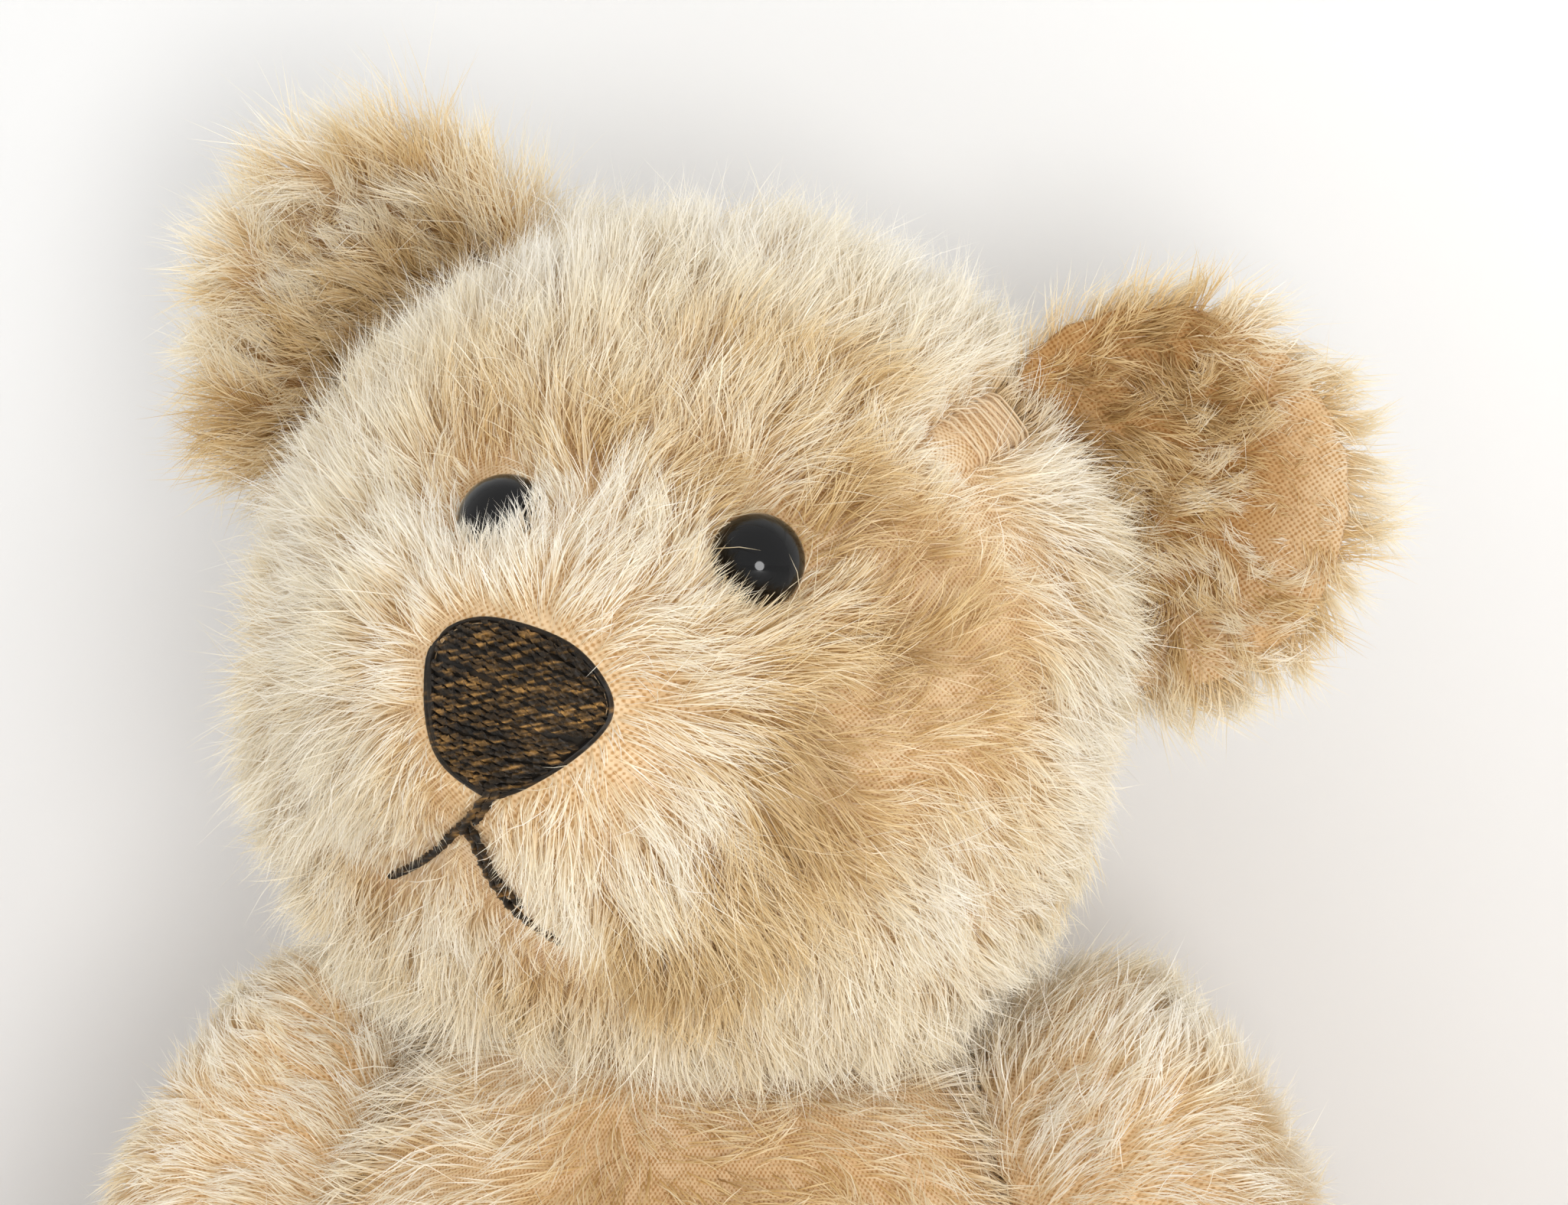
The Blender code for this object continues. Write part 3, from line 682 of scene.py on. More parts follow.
def locks_of(points: Array, size: float, seed: int) -> tuple[Array, Array]:
    """Shares points out among locks of fibre, one in each cell of a grid.

    Args:
        points: The roots.
        size: The size of a lock.
        seed: Which pattern of locks it is.

    Returns:
        The middle of each point's lock, and four numbers from 0 to 1 that belong to that lock.
    """
    cells = np.floor(points / size).astype(np.int64)
    nearest = np.full(len(points), np.inf)
    middles = np.zeros_like(points)
    numbers = np.zeros((len(points), 4))
    for step in np.ndindex(3, 3, 3):
        cell = cells + np.array(step) - 1
        own = scrambled(cell, seed)
        middle = (cell + 0.1 + 0.8 * own[:, :3]) * size
        distance = np.sum((points - middle) ** 2, axis=1)
        closer = distance < nearest
        nearest[closer] = distance[closer]
        middles[closer] = middle[closer]
        numbers[closer] = own[closer]
    return middles, scrambled(np.round(numbers * 1e6).astype(np.int64)[:, :3], seed + 1)


# ---- cloth
@dataclass
class Skin:
    """A bag's cloth and what growing its pile needs to know about it.

    Attributes:
        obj: The cloth's object.
        place: The bag's own axes.
    """

    obj: bpy.types.Object
    place: Place
    points: Array = field(init=False)
    normals: Array = field(init=False)
    triangles: Array = field(init=False)
    tree: BVHTree = field(init=False)

    def __post_init__(self) -> None:
        """Reads the cloth's mesh."""
        data = self.obj.data
        data.calc_loop_triangles()
        self.points = mesh_points(data)
        self.normals = mesh_points(data, "normal")
        triangles = np.empty(len(data.loop_triangles) * 3, dtype=np.int32)
        data.loop_triangles.foreach_get("vertices", triangles)
        self.triangles = triangles.reshape(-1, 3)
        self.tree = BVHTree.FromPolygons(self.points.tolist(), self.triangles.tolist())

    def scatter(self, count: int, density: Pattern, rng: np.random.Generator,
                within: Pattern) -> tuple[Array, Array]:
        """Scatters roots evenly over the cloth.

        Args:
            count: How many there would be on the whole cloth if it were all as dense as the densest part.
            density: The share of roots that grow at points of the bag's own axes.
            rng: The source of chance.
            within: Tells which points of the bag's own axes belong to the part that is wanted.

        Returns:
            The roots and the cloth's normals there.
        """
        corners = self.points[self.triangles]
        sides = corners[:, 1:] - corners[:, :1]
        areas = np.linalg.norm(np.cross(sides[:, 0], sides[:, 1]), axis=1) / 2
        expected = areas * count / areas.sum()
        counts = np.floor(expected + rng.random(len(areas))).astype(int)
        chosen = np.repeat(np.arange(len(areas)), counts)
        shares = rng.random((len(chosen), 2))
        over = shares.sum(axis=1) > 1
        shares[over] = 1 - shares[over]
        weights = np.column_stack([1 - shares.sum(axis=1), shares])[:, :, None]
        roots = (corners[chosen] * weights).sum(axis=1)
        normals = unit((self.normals[self.triangles[chosen]] * weights).sum(axis=1))
        own = self.place.local(roots)
        kept = (rng.random(len(own)) < density(own)) & within(own)
        return roots[kept], normals[kept]

    def nearest(self, spot: Sequence[float]) -> tuple[Vector, Vector]:
        """Finds the nearest point of the cloth and the normal there, in the bear's frame."""
        return self.tree.find_nearest(Vector(spot))[:2]

    def front(self, across: float, up: float, proud: float) -> Vector:
        """Finds the point on the front of the cloth at a place seen from ahead, in the bear's frame.

        Args:
            across: How far along the bag's own X it is.
            up: How far along the bag's own Z it is.
            proud: How far it stands off the cloth.

        Returns:
            The point.
        """
        start = self.place.point((across, -0.2, up))
        spot, normal = self.tree.ray_cast(start, self.place.turn @ Vector((0, 1, 0)))[:2]
        return spot + normal * proud


# ---- pile
@dataclass(frozen=True)
class Ribbon:
    """The shape of one strand's mesh: a thin ribbon that runs out to a point.

    Attributes:
        stations: Where it has its points, root to tip.
        widths: How wide it is there, as a share; 0 for a single point.
    """

    stations: tuple[float, ...]
    widths: tuple[float, ...]

    def layout(self) -> tuple[Array, Array, Array, Array]:
        """Gives each point's station and side, and the faces' corners and sizes."""
        order, edge, corners, sizes, rows = [], [], [], [], []
        for index, width in enumerate(self.widths):
            sides = [-1, 1] if width else [0]
            rows.append([len(order) + k for k in range(len(sides))])
            order += [index] * len(sides)
            edge += sides
        for low, high in zip(rows, rows[1:]):
            corners += low + high[::-1]
            sizes.append(len(low) + len(high))
        return np.array(order), np.array(edge), np.array(corners), np.array(sizes)


FINE = Ribbon((0.0, 0.34, 0.70, 1.0), (0.0, 1.0, 0.72, 0.0))
SPARE = Ribbon((0.0, 0.52, 1.0), (0.7, 1.0, 0.0))


@dataclass(frozen=True)
class Pile:
    """How a coat of mohair stands on its cloth.

    Attributes:
        strands: How many strands the coat would have if it were as dense as it gets all over.
        length: The longest strands' length.
        width: A strand's width where it is widest.
        lean: The angles between a strand and the cloth's normal at its root and at its tip.
        lock: The size of a lock of strands.
        gather: How far the tips of a lock are drawn together, 0 to 1.
        sway: How far a lock strays from the way it is combed, in radians.
        frizz: How far a strand's tip strays from its lock.
        strays: The share of strands that stick out on their own.
        mottle: How much the locks' shades differ, 1 as usual.
        seed: Which random coat it is.
        ribbon: The shape of a strand's mesh.
    """

    strands: int
    length: float = 0.0104
    width: float = 0.000100
    lean: tuple[float, float] = (math.radians(30), math.radians(80))
    lock: float = 0.0027
    gather: float = 0.62
    sway: float = 0.62
    frizz: float = 0.0006
    strays: float = 0.06
    mottle: float = 1.0
    seed: int = 1
    ribbon: Ribbon = FINE


# The shortest strand that is worth its faces, the length from which a strand keeps fully to its lock, the most
# that a tip may lean, and how far above the table the pile ends
SHORTEST_STRAND = 0.0006
GATHERED_LENGTH = 0.004
FLATTEST_LEAN = math.radians(97)
TABLE_GAP = 0.0004


def clear_lengths(roots: Array, ways: Array, lengths: Array, neighbours: Sequence[Skin]) -> Array:
    """Shortens strands that would run into another bag.

    Args:
        roots: The strands' roots.
        ways: The way from each root to its tip.
        lengths: The strands' lengths.
        neighbours: The other bags.

    Returns:
        Lengths that stay clear of them.
    """
    clear = lengths.copy()
    for skin in neighbours:
        low = skin.points.min(axis=0) - lengths.max()
        high = skin.points.max(axis=0) + lengths.max()
        for i in np.nonzero(((roots > low) & (roots < high)).all(axis=1))[0]:
            way = Vector(ways[i])
            distance = skin.tree.ray_cast(Vector(roots[i]) + way * 1e-4, way, clear[i])[3]
            if distance is not None:
                clear[i] = distance * 0.8
    return clear


def grow(name: str, bag: "Bag", pile: Pile, neighbours: Sequence[Skin] = (),
         within: Pattern | None = None) -> bpy.types.Object:
    """Grows a coat of mohair: each strand is a thin tapering ribbon, combed, gathered in locks and lifted.

    Args:
        name: The coat's name.
        bag: The bag that it grows on.
        pile: How it stands.
        neighbours: Other bags' cloth, which it stays clear of.
        within: Tells which points of the bag's own axes grow this coat.

    Returns:
        The coat's object.
    """
    rng = np.random.default_rng(pile.seed)
    everywhere = within or (lambda points: np.ones(len(points), dtype=bool))
    count = pile.strands
    skin = bag.skin
    roots, normals = skin.scatter(count, bag.density, rng, everywhere)
    total = len(roots)
    wide_middles, wide = locks_of(roots, pile.lock * 2.4, pile.seed + 7)
    middles, small = locks_of(roots, pile.lock, pile.seed)
    stray = rng.random(total) < pile.strays
    growth = bag.growth(skin.place.local(roots))
    # the way each strand is combed, swung by its locks and by chance, and bent sideways as it grows
    flow = skin.place.out(growth.way)
    flow = unit(flow - normals * dot(flow, normals))
    tousle = pile.sway * growth.tousle
    angle = tousle * (1.1 * (wide[:, 0] - 0.5) + 1.1 * (small[:, 0] - 0.5) + rng.normal(size=total) * 0.13)
    angle += np.where(stray, rng.normal(size=total) * 0.8, 0.0)
    flow = swing(flow, normals, angle)
    bend = tousle * (1.0 * (wide[:, 1] - 0.5) + 1.3 * (small[:, 1] - 0.5) + rng.normal(size=total) * 0.16)
    bent = swing(flow, normals, bend)
    root_lean = pile.lean[0] + 0.8 * growth.lie + 0.3 * (small[:, 2] - 0.5) + rng.normal(size=total) * 0.09
    tip_lean = pile.lean[1] + 0.3 * growth.lie + 0.5 * (small[:, 3] - 0.5) + rng.normal(size=total) * 0.13
    tip_lean -= np.where(stray, 0.35, 0.0)
    tip_lean = np.minimum(tip_lean, FLATTEST_LEAN)
    start = normals * np.cos(root_lean)[:, None] + flow * np.sin(root_lean)[:, None]
    end = normals * np.cos(tip_lean)[:, None] + bent * np.sin(tip_lean)[:, None]
    shares = growth.length * (0.82 + 0.3 * wide[:, 2]) * rng.uniform(0.55, 1.0, total) ** 0.7
    lengths = pile.length * np.where(stray, shares * 1.15, shares)
    lengths = clear_lengths(roots, unit(start + end), lengths, neighbours)
    kept = lengths > SHORTEST_STRAND
    shade, coarse = (np.broadcast_to(values, total) for values in (growth.tone, growth.coarse))
    roots, normals, start, end, lengths, middles, wide_middles, wide, small, stray, shade, coarse = (
        values[kept] for values in (roots, normals, start, end, lengths, middles, wide_middles, wide, small,
                                    stray, shade, coarse))
    total = len(roots)
    # the points along each strand
    loose = (np.where(stray, 0.1, 1.0) * np.minimum(1.0, lengths / GATHERED_LENGTH))[:, None]
    toward = pile.gather * (middles - roots) + 0.22 * (wide_middles - roots)
    toward = (toward - normals * dot(toward, normals)) * loose
    wander = rng.normal(size=(total, 3)) * pile.frizz * (lengths / pile.length)[:, None]
    order, edge = pile.ribbon.layout()[:2]
    t = np.array(pile.ribbon.stations)[None, :, None]
    growing = start[:, None] * t + (end - start)[:, None] * t**2 / 2
    points = roots[:, None] + lengths[:, None, None] * growing
    points += toward[:, None] * t**1.3 + wander[:, None] * t**2
    if bag.stands:
        points[..., 2] = np.maximum(points[..., 2], TABLE_GAP)
    # a ribbon that faces outward, more or less
    tangents = np.gradient(points, axis=1)
    facing = unit(normals + rng.normal(size=(total, 3)) * 0.5)
    across = unit(np.cross(tangents, facing[:, None]))
    thick = rng.uniform(0.7, 1.3, total) * coarse * np.where(stray, 0.75, 1.0)
    half = pile.width / 2 * thick[:, None, None] * np.array(pile.ribbon.widths)[None, :, None]
    vertices = points[:, order] + (across * half)[:, order] * edge[None, :, None]
    tone = shade + pile.mottle * (0.14 * (wide[:, 3] - 0.5) + 0.22 * (small[:, 0] - 0.5))
    tone = np.clip(tone + rng.normal(size=total) * 0.07 + np.where(stray, 0.12, 0.0), 0.02, 0.98)
    coat = strand_mesh(name, vertices, tone, pile.ribbon)
    hand_over(coat, MOHAIR, bag.body)
    LOG.info("%s: %d strands", name, total)
    return coat


def strand_mesh(name: str, vertices: Array, tone: Array, ribbon: Ribbon) -> bpy.types.Object:
    """Makes the mesh of a coat, two or three faces to each strand.

    Args:
        name: The coat's name.
        vertices: The points of each strand.
        tone: Each strand's shade.
        ribbon: The shape of a strand's mesh.

    Returns:
        The coat's object.
    """
    order, edge, corners, sizes = ribbon.layout()
    total, each, faces = len(vertices), len(order), len(sizes)
    data = bpy.data.meshes.new(name)
    loops = (np.arange(total)[:, None] * each + corners).astype(np.int32)
    data.vertices.add(total * each)
    data.vertices.foreach_set("co", vertices.astype(np.float32).ravel())
    data.loops.add(total * len(corners))
    data.loops.foreach_set("vertex_index", loops.ravel())
    data.polygons.add(total * faces)
    starts = (np.arange(total)[:, None] * len(corners) + np.cumsum(sizes) - sizes).astype(np.int32)
    data.polygons.foreach_set("loop_start", starts.ravel())
    layer = data.uv_layers.new(name="OFBake")
    u = np.broadcast_to(0.01 + 0.98 * np.array(ribbon.stations)[order], (total, each))
    v = tone[:, None] + edge[None, :] * 0.004
    places = np.stack([u, v], axis=-1)[:, corners]
    layer.uv.foreach_set("vector", places.astype(np.float32).ravel())
    data.update(calc_edges=True)
    data.polygons.foreach_set("use_smooth", np.ones(total * faces, dtype=bool))
    return put_in(name, data)


# ---- the bear's bags
@dataclass
class PadForm:
    """Where an oval pad lies, in its limb's own axes.

    Attributes:
        middle: Its middle.
        axes: Its long, wide and outward ways, as rows.
        half: Half its length, width and thickness.
    """

    middle: Array
    axes: Array
    half: Array

    @classmethod
    def of(cls, node: str, place: Place, end: Sequence[float], outward: Sequence[float]) -> "PadForm":
        """Reads a pad's form off its CAD node.

        Args:
            node: The CAD pad.
            place: The limb's own axes.
            end: About the way to its clawed end.
            outward: About the way that it faces.

        Returns:
            The form.
        """
        points = place.local(mesh_points(bpy.data.objects[node].data))
        middle = points.mean(axis=0)
        long, _, out = np.linalg.svd(points - middle, full_matrices=False)[2]
        long = long * np.sign(long @ np.array(end))
        out = out * np.sign(out @ np.array(outward))
        axes = np.stack([long, np.cross(out, long), out])
        return cls(middle, axes, np.abs((points - middle) @ axes.T).max(axis=0))


@dataclass
class Growth:
    """How the pile grows at each point of a bag.

    Attributes:
        way: The way that it is combed.
        length: Its length, as a share of the longest.
        tone: Its shade, 0 for dark gold and 1 for ivory.
        lie: How flat it lies: 0 as it grew, 1 pressed to the cloth.
        tousle: How untidy it is, 1 as usual.
        coarse: How thick its strands are, 1 as usual.
    """

    way: Array
    length: Array | float
    tone: Array | float
    lie: Array | float = 0.0
    tousle: Array | float = 1.0
    coarse: Array | float = 1.0


@dataclass
class Bag(ABC):
    """One stuffed bag of the bear, with its cloth and its coat. Points come in the bag's own axes.

    Attributes:
        label: What it is called.
        node: The CAD cover that its cloth stands for.
        body: The body that it rides on.
        place: Its own axes.
        mesh_pitch: The pitch of its cloth's mesh.
        fill: How tightly it is stuffed.
        stands: True if it stands on the table, which its pile is pressed against.
        pad: The felt pad at its end, if it has one.
        slack: How much smaller than its CAD cover its cloth is before it is stuffed.
        reach: How far stuffing may move any point from its CAD cover.
    """

    label: str
    node: str
    body: str
    place: Place
    mesh_pitch: float = 0.0025
    fill: float = 0.9
    stands: bool = False
    pad: "PadForm | None" = None
    slack: float = 0.0007
    reach: float = 0.0011
    skin: Skin = field(init=False)

    @abstractmethod
    def growth(self, points: Array) -> Growth:
        """Tells how the pile grows at each point."""

    @abstractmethod
    def density(self, points: Array) -> Array:
        """Tells how thickly the pile grows at each point, 0 to 1."""

    @abstractmethod
    def weave(self, points: Array) -> Array:
        """Gives each point's place along the warp and the weft, and how much soil, and on the ears painted
        shade, darkens it, 0 to 1.
        """

    def held(self, points: Array) -> Array:
        """Tells how firmly a seam, an eye or a joint holds the cloth at each point, 0 to 1."""
        return np.zeros(len(points))

    def off_pad(self, points: Array) -> Array:
        """Tells how far each point is from the limb's pad: 0 under it and 1 clear of it."""
        spots = (points - self.pad.middle) @ self.pad.axes.T / self.pad.half
        out = np.abs(spots[:, 2]) * self.pad.half[2] > 0.0045
        return np.where(out, 1.0, rise(np.hypot(spots[:, 0], spots[:, 1]), 0.96, 1.02))

    def sew(self) -> None:
        """Makes the bag's cloth, stuffs it and dresses it."""
        obj = outer_skin(self.node, f"{self.label}_cloth")
        remesh(obj, self.mesh_pitch, 10)
        if self.fill:
            self.stuff(obj)
        self.skin = Skin(obj, self.place)
        lay_weave(obj, self.weave(self.place.local(self.skin.points)))
        hand_over(obj, BACKING, self.body, self.node)
        LOG.info("%s: %d faces of cloth", obj.name, len(obj.data.polygons))

    def stuff(self, obj: bpy.types.Object) -> None:
        """Blows the cloth up as its stuffing does: it starts a little small, and is held at its seams."""
        rest = mesh_points(obj.data)
        normals = mesh_points(obj.data, "normal")
        hold = np.clip(self.held(self.place.local(rest)), 0, 1)
        move_points(obj, rest - normals * self.slack * (1 - hold)[:, None])
        group = obj.vertex_groups.new(name="held")
        for index in np.nonzero(hold > 0.4)[0]:
            group.add([int(index)], float(hold[index]), "REPLACE")
        settings = obj.modifiers.new("stuffing", "CLOTH").settings
        settings.use_pressure = True
        settings.uniform_pressure_force = 4.0
        settings.effector_weights.gravity = 0.0
        settings.vertex_group_mass = group.name
        settings.quality = 4
        for frame in range(1, 21):
            bpy.context.scene.frame_set(frame)
        apply_all(obj)
        bpy.context.scene.frame_set(1)
        moved = mesh_points(obj.data) - rest
        size = np.linalg.norm(moved, axis=1)
        moved *= (np.minimum(1.0, self.reach / np.maximum(size, 1e-9)) * (1 - hold))[:, None]
        move_points(obj, rest + moved)
        obj.vertex_groups.clear()


NOSE_SHIELD = (
    (-1.0, 0.62), (-0.51, 0.98), (0.45, 0.91), (0.99, 0.31), (0.74, -0.35), (0.10, -0.98), (-0.34, -0.96),
    (-0.74, -0.66), (-0.97, 0.04))
MOUTH_LEFT = ((-0.0062, -0.0140), (-0.0096, -0.0174), (-0.0140, -0.0208), (-0.0184, -0.0238))
MOUTH_RIGHT = ((-0.0064, -0.0142), (-0.0052, -0.0160), (-0.0044, -0.0186), (-0.0028, -0.0218),
               (0.0004, -0.0250))


@dataclass(frozen=True)
class Shield:
    """The outline of the nose, seen from ahead in the head's own axes.

    Attributes:
        middle: Its middle, across and up.
        half: Half its width and half its height.
    """

    middle: tuple[float, float] = (-0.0030, -0.0034)
    half: tuple[float, float] = (0.0083, 0.0071)

    def outline(self, steps: int = 12) -> Array:
        """Gives the outline as a smooth closed line of points, across and up."""
        around = [np.roll(np.array(NOSE_SHIELD), -k, axis=0)[:, None] for k in (-1, 0, 1, 2)]
        line = through(*around, (np.arange(steps) / steps)[:, None]).reshape(-1, 2)
        return line * np.array(self.half) + np.array(self.middle)

    def share(self, spots: Array) -> Array:
        """Tells how far out from the middle each spot is, 1 on the outline."""
        line, spots = ((flat - np.array(self.middle)) / np.array(self.half)
                       for flat in (self.outline(), spots))
        turns = np.arctan2(line[:, 1], line[:, 0])
        order = np.argsort(turns)
        radius = np.interp(np.arctan2(spots[:, 1], spots[:, 0]), turns[order],
                           np.linalg.norm(line, axis=1)[order], period=2 * math.pi)
        return np.linalg.norm(spots, axis=1) / radius


NOSE = Shield()


@dataclass
class Head(Bag):
    """The head: its pile fans out from the nose, up over the brow and down over the cheeks and chin.

    Attributes:
        fan: Where the pile parts, just inside the muzzle.
        eye: Where the left eye is. The right one mirrors it.
        ridge: The line of the mended gusset seam.
        bare: Patches worn to the cloth: their middles and radii.
        gold: Patches where the pile is golden, as at its roots.
        shades: Patches that are paler or darker: their middles, radii and shades.
        muzzle: How far ahead the muzzle begins.
        lips: How far ahead the cloth round the mouth begins.
        back: Where the head's plain back begins and where it is all back.
    """

    fan: Triple = (-0.0035, -0.0440, -0.0030)
    eye: Triple = (0.0116, -0.0330, 0.0120)
    ridge: tuple = ((0.0215, -0.0222, 0.0221), (0.0233, -0.0177, 0.0244), (0.0255, -0.0080, 0.0276),
                    (0.0268, -0.0022, 0.0290))
    bare: tuple = (
        ((0.0073, -0.0475, 0.0004), 0.0026), ((0.0074, -0.0477, -0.0050), 0.0030),
        ((0.0058, -0.0477, -0.0100), 0.0026), ((0.0010, -0.0474, -0.0141), 0.0026),
        ((-0.0146, -0.0434, 0.0018), 0.0020), ((-0.0148, -0.0445, -0.0035), 0.0024),
        ((-0.0148, -0.0417, -0.0117), 0.0026), ((-0.0140, -0.0367, -0.0171), 0.0026),
        ((0.0277, -0.0202, 0.0170), 0.0026), ((0.0241, -0.0276, 0.0101), 0.0024),
        ((0.0336, -0.0180, 0.0037), 0.0028), ((0.0312, -0.0200, 0.0100), 0.0028),
        ((0.0180, -0.0360, -0.0050), 0.0022), ((0.0335, -0.0120, 0.0130), 0.0030),
        ((0.0214, -0.0268, 0.0155), 0.0028), ((0.0263, -0.0239, 0.0132), 0.0034),
        ((0.0219, -0.0324, 0.0013), 0.0026), ((0.0286, -0.0250, 0.0031), 0.0032),
        ((0.0249, -0.0295, -0.0034), 0.0026), ((0.0335, -0.0150, 0.0170), 0.0026),
        ((0.0276, -0.0180, 0.0192), 0.0024), ((0.0300, -0.0165, 0.0175), 0.0024))
    gold: tuple = (
        ((0.0045, -0.0340, 0.0174), 0.0060), ((-0.0054, -0.0347, 0.0168), 0.0050),
        ((0.0174, -0.0287, 0.0158), 0.0060), ((0.0160, -0.0300, 0.0070), 0.0050),
        ((0.0240, -0.0270, 0.0060), 0.0100), ((0.0200, -0.0340, -0.0060), 0.0080),
        ((0.0225, -0.0272, 0.0120), 0.0085), ((0.0042, -0.0270, 0.0260), 0.0070),
        ((0.0125, -0.0235, 0.0270), 0.0050), ((0.0178, -0.0375, -0.0010), 0.0080),
        ((0.0110, -0.0325, -0.0195), 0.0095), ((0.0172, -0.0340, 0.0040), 0.0058))
    shades: tuple = (
        ((-0.0060, -0.0430, 0.0080), 0.0100, 0.20), ((0.0335, -0.0090, 0.0180), 0.0060, 0.10),
        ((0.0225, -0.0280, 0.0112), 0.0090, -0.16), ((0.0180, -0.0370, -0.0030), 0.0080, -0.08),
        ((0.0100, -0.0270, -0.0262), 0.0120, -0.20))
    muzzle: float = -0.030
    lips: float = -0.018
    back: tuple[float, float] = (0.004, 0.016)

    def from_eyes(self, points: Array) -> Array:
        """Gives the distance from the nearer eye's middle."""
        return np.linalg.norm(mirrored(points) - np.array(self.eye), axis=1)

    def worn(self, points: Array) -> Array:
        """Tells how far the pile has worn away, from 0 to 1."""
        worn = near_line(points, self.ridge[1:], 0.0032)
        for middle, radius in self.bare:
            worn = np.maximum(worn, near(points, middle, radius * (0.95 if middle[0] < 0.02 else 1.2)))
        ragged = 0.22 * ripples(points, 0.0050, 3) + 0.12 * ripples(points, 0.0022, 4)
        return rise(worn + ragged * (worn > 0.08), 0.30, 0.75)

    def tired(self, points: Array) -> Array:
        """Tells how thin and matted the left cheek is, from 0 to 1."""
        thin = 0.75 + 0.45 * ripples(points, 0.0060, 6)
        return np.clip(1.35 * near(points, (0.0280, -0.0250, 0.0050), 0.0150) * thin, 0, 1)

    def round_mouth(self, points: Array) -> Array:
        """Tells how near the mouth and the bare place above it each point is."""
        flat = points[:, [0, 2]]
        bands = (near_line(flat, MOUTH_LEFT, 0.0022), near_line(flat, MOUTH_RIGHT, 0.0036),
                 near(flat, (-0.0060, -0.0125), 0.0036))
        return np.where(points[:, 1] < self.lips, np.max(bands, axis=0), 0.0)

    def kept_clear(self) -> list[tuple[Array, float, float]]:
        """Gives the spots that the pile leaves bare, how far short of each it stops, and its least share."""
        spots = [(np.array(self.eye), 0.0034, 0.1), (np.array(self.eye) * (-1, 1, 1), 0.0024, 0.1)]
        seam = np.array(self.ridge).T
        for share in np.linspace(0.42, 1.0, 5):
            spots.append((np.array([np.interp(share * 3, range(4), axis) for axis in seam]), 0.0030, 0.1))
        for line in (MOUTH_LEFT, MOUTH_RIGHT):
            lips = self.place.local(np.array([self.skin.front(x, z, 0.0) for x, z in line]))
            spots += [(spot, 0.0011, 0.1) for spot in np.vstack([lips, (lips[1:] + lips[:-1]) / 2])]
        return spots + [(np.array(middle), 0.35 * radius, 0.40) for middle, radius in self.bare[-8:]]

    def room(self, points: Array, ways: Array) -> Array:
        """Tells what share of its length a strand can have before it covers what is kept clear.

        Args:
            points: The strands' roots.
            ways: The ways that they are combed, with a length of 1.

        Returns:
            The shares.
        """
        room = np.full(len(points), 9.0)
        for spot, short, least in self.kept_clear():
            away = spot - points
            distance = np.linalg.norm(away, axis=1)
            ahead = np.sum(away * ways, axis=1) / np.maximum(distance, 1e-9)
            fits = np.maximum(least, (distance - short) / 0.0092)
            room = np.where(ahead > 0.4 + least, np.minimum(room, fits), room)
        return room

    def growth(self, points: Array) -> Growth:
        """Tells how the pile grows."""
        x, y, z = points.T
        flat = points[:, [0, 2]]
        tired, worn = self.tired(points), self.worn(points)
        # it fans out from the nose, and a lock hangs from the mended seam over the left cheek
        way = unit(points - np.array(self.fan))
        hanging = near(points, (0.0340, -0.0090, 0.0160), 0.0105)
        way[:, 2] += 0.70 * rise(z, 0.002, 0.016) - 0.95 * rise(z, 0.004, -0.014) - 2.4 * hanging
        way[:, 0] += 0.30 * np.sign(x) * rise(np.abs(x), 0.012, 0.034) + 1.1 * hanging
        # it is short round the nose, below its middle, and full above
        front = y < self.muzzle
        length = np.where(front, 0.45 + 0.55 * rise(NOSE.share(flat), 1.0, 1.45), 1.0)
        length = np.maximum(length, np.where(front, 0.82 * rise(z, -0.001, 0.004), 0.0))
        length = changed(
            length,
            (-0.82, np.exp(-((self.from_eyes(points) / 0.0056) ** 4))),
            (-0.40, worn), (-0.25, tired), (-0.70, self.round_mouth(points)),
            (-0.55, near_line(flat, MOUTH_RIGHT, 0.0052) * (y < self.lips)),
            (0.12, rise(z, -0.018, -0.030)),
            (0.22, near(points, (0.0340, -0.0080, 0.0190), 0.0070)),
            (-0.45, near(points, (0.0282, -0.0035, 0.0272), 0.0045)),
            (-0.30, rise(x, 0.024, 0.036) * rise(z, 0.012, 0.000)))
        length = changed(np.minimum(length, self.room(points, unit(way))),
                         (-0.55, near(points, (-0.0072, -0.0395, 0.0110), 0.0060)))
        tone = 0.67 + 0.10 * rise(z, 0.020, 0.034) + 0.09 * ripples(points, 0.016, 5) - 0.10 * tired
        tone -= 0.43 * np.max([near(points, middle, radius) for middle, radius in self.gold], axis=0)
        tone += sum(shade * near(points, middle, radius) for middle, radius, shade in self.shades)
        return Growth(
            way, length, np.maximum(tone, 0.20),
            lie=0.35 * tired + 0.3 * worn - 0.45 * near(points, (-0.004, -0.043, 0.009), 0.010),
            tousle=1.0 + 0.9 * tired + 0.3 * near(points, (0.004, -0.032, 0.019), 0.010),
            coarse=1 + 0.7 * rise(y, *self.back))

    def density(self, points: Array) -> Array:
        """Tells how thickly the pile grows."""
        y = points[:, 1]
        share = changed(
            np.ones(len(points)),
            (-0.62, rise(y, *self.back)), (-0.78, self.worn(points)), (-0.62, self.tired(points)),
            (-0.95, rise(near_line(points, self.ridge[1:], 0.0028), 0.35, 0.6)),
            (-0.92, self.round_mouth(points)))
        share[self.from_eyes(points) < EYE_RADIUS * 0.9] = 0.0
        share[(NOSE.share(points[:, [0, 2]]) < 1.02) & (y < self.muzzle)] = 0.0
        return share

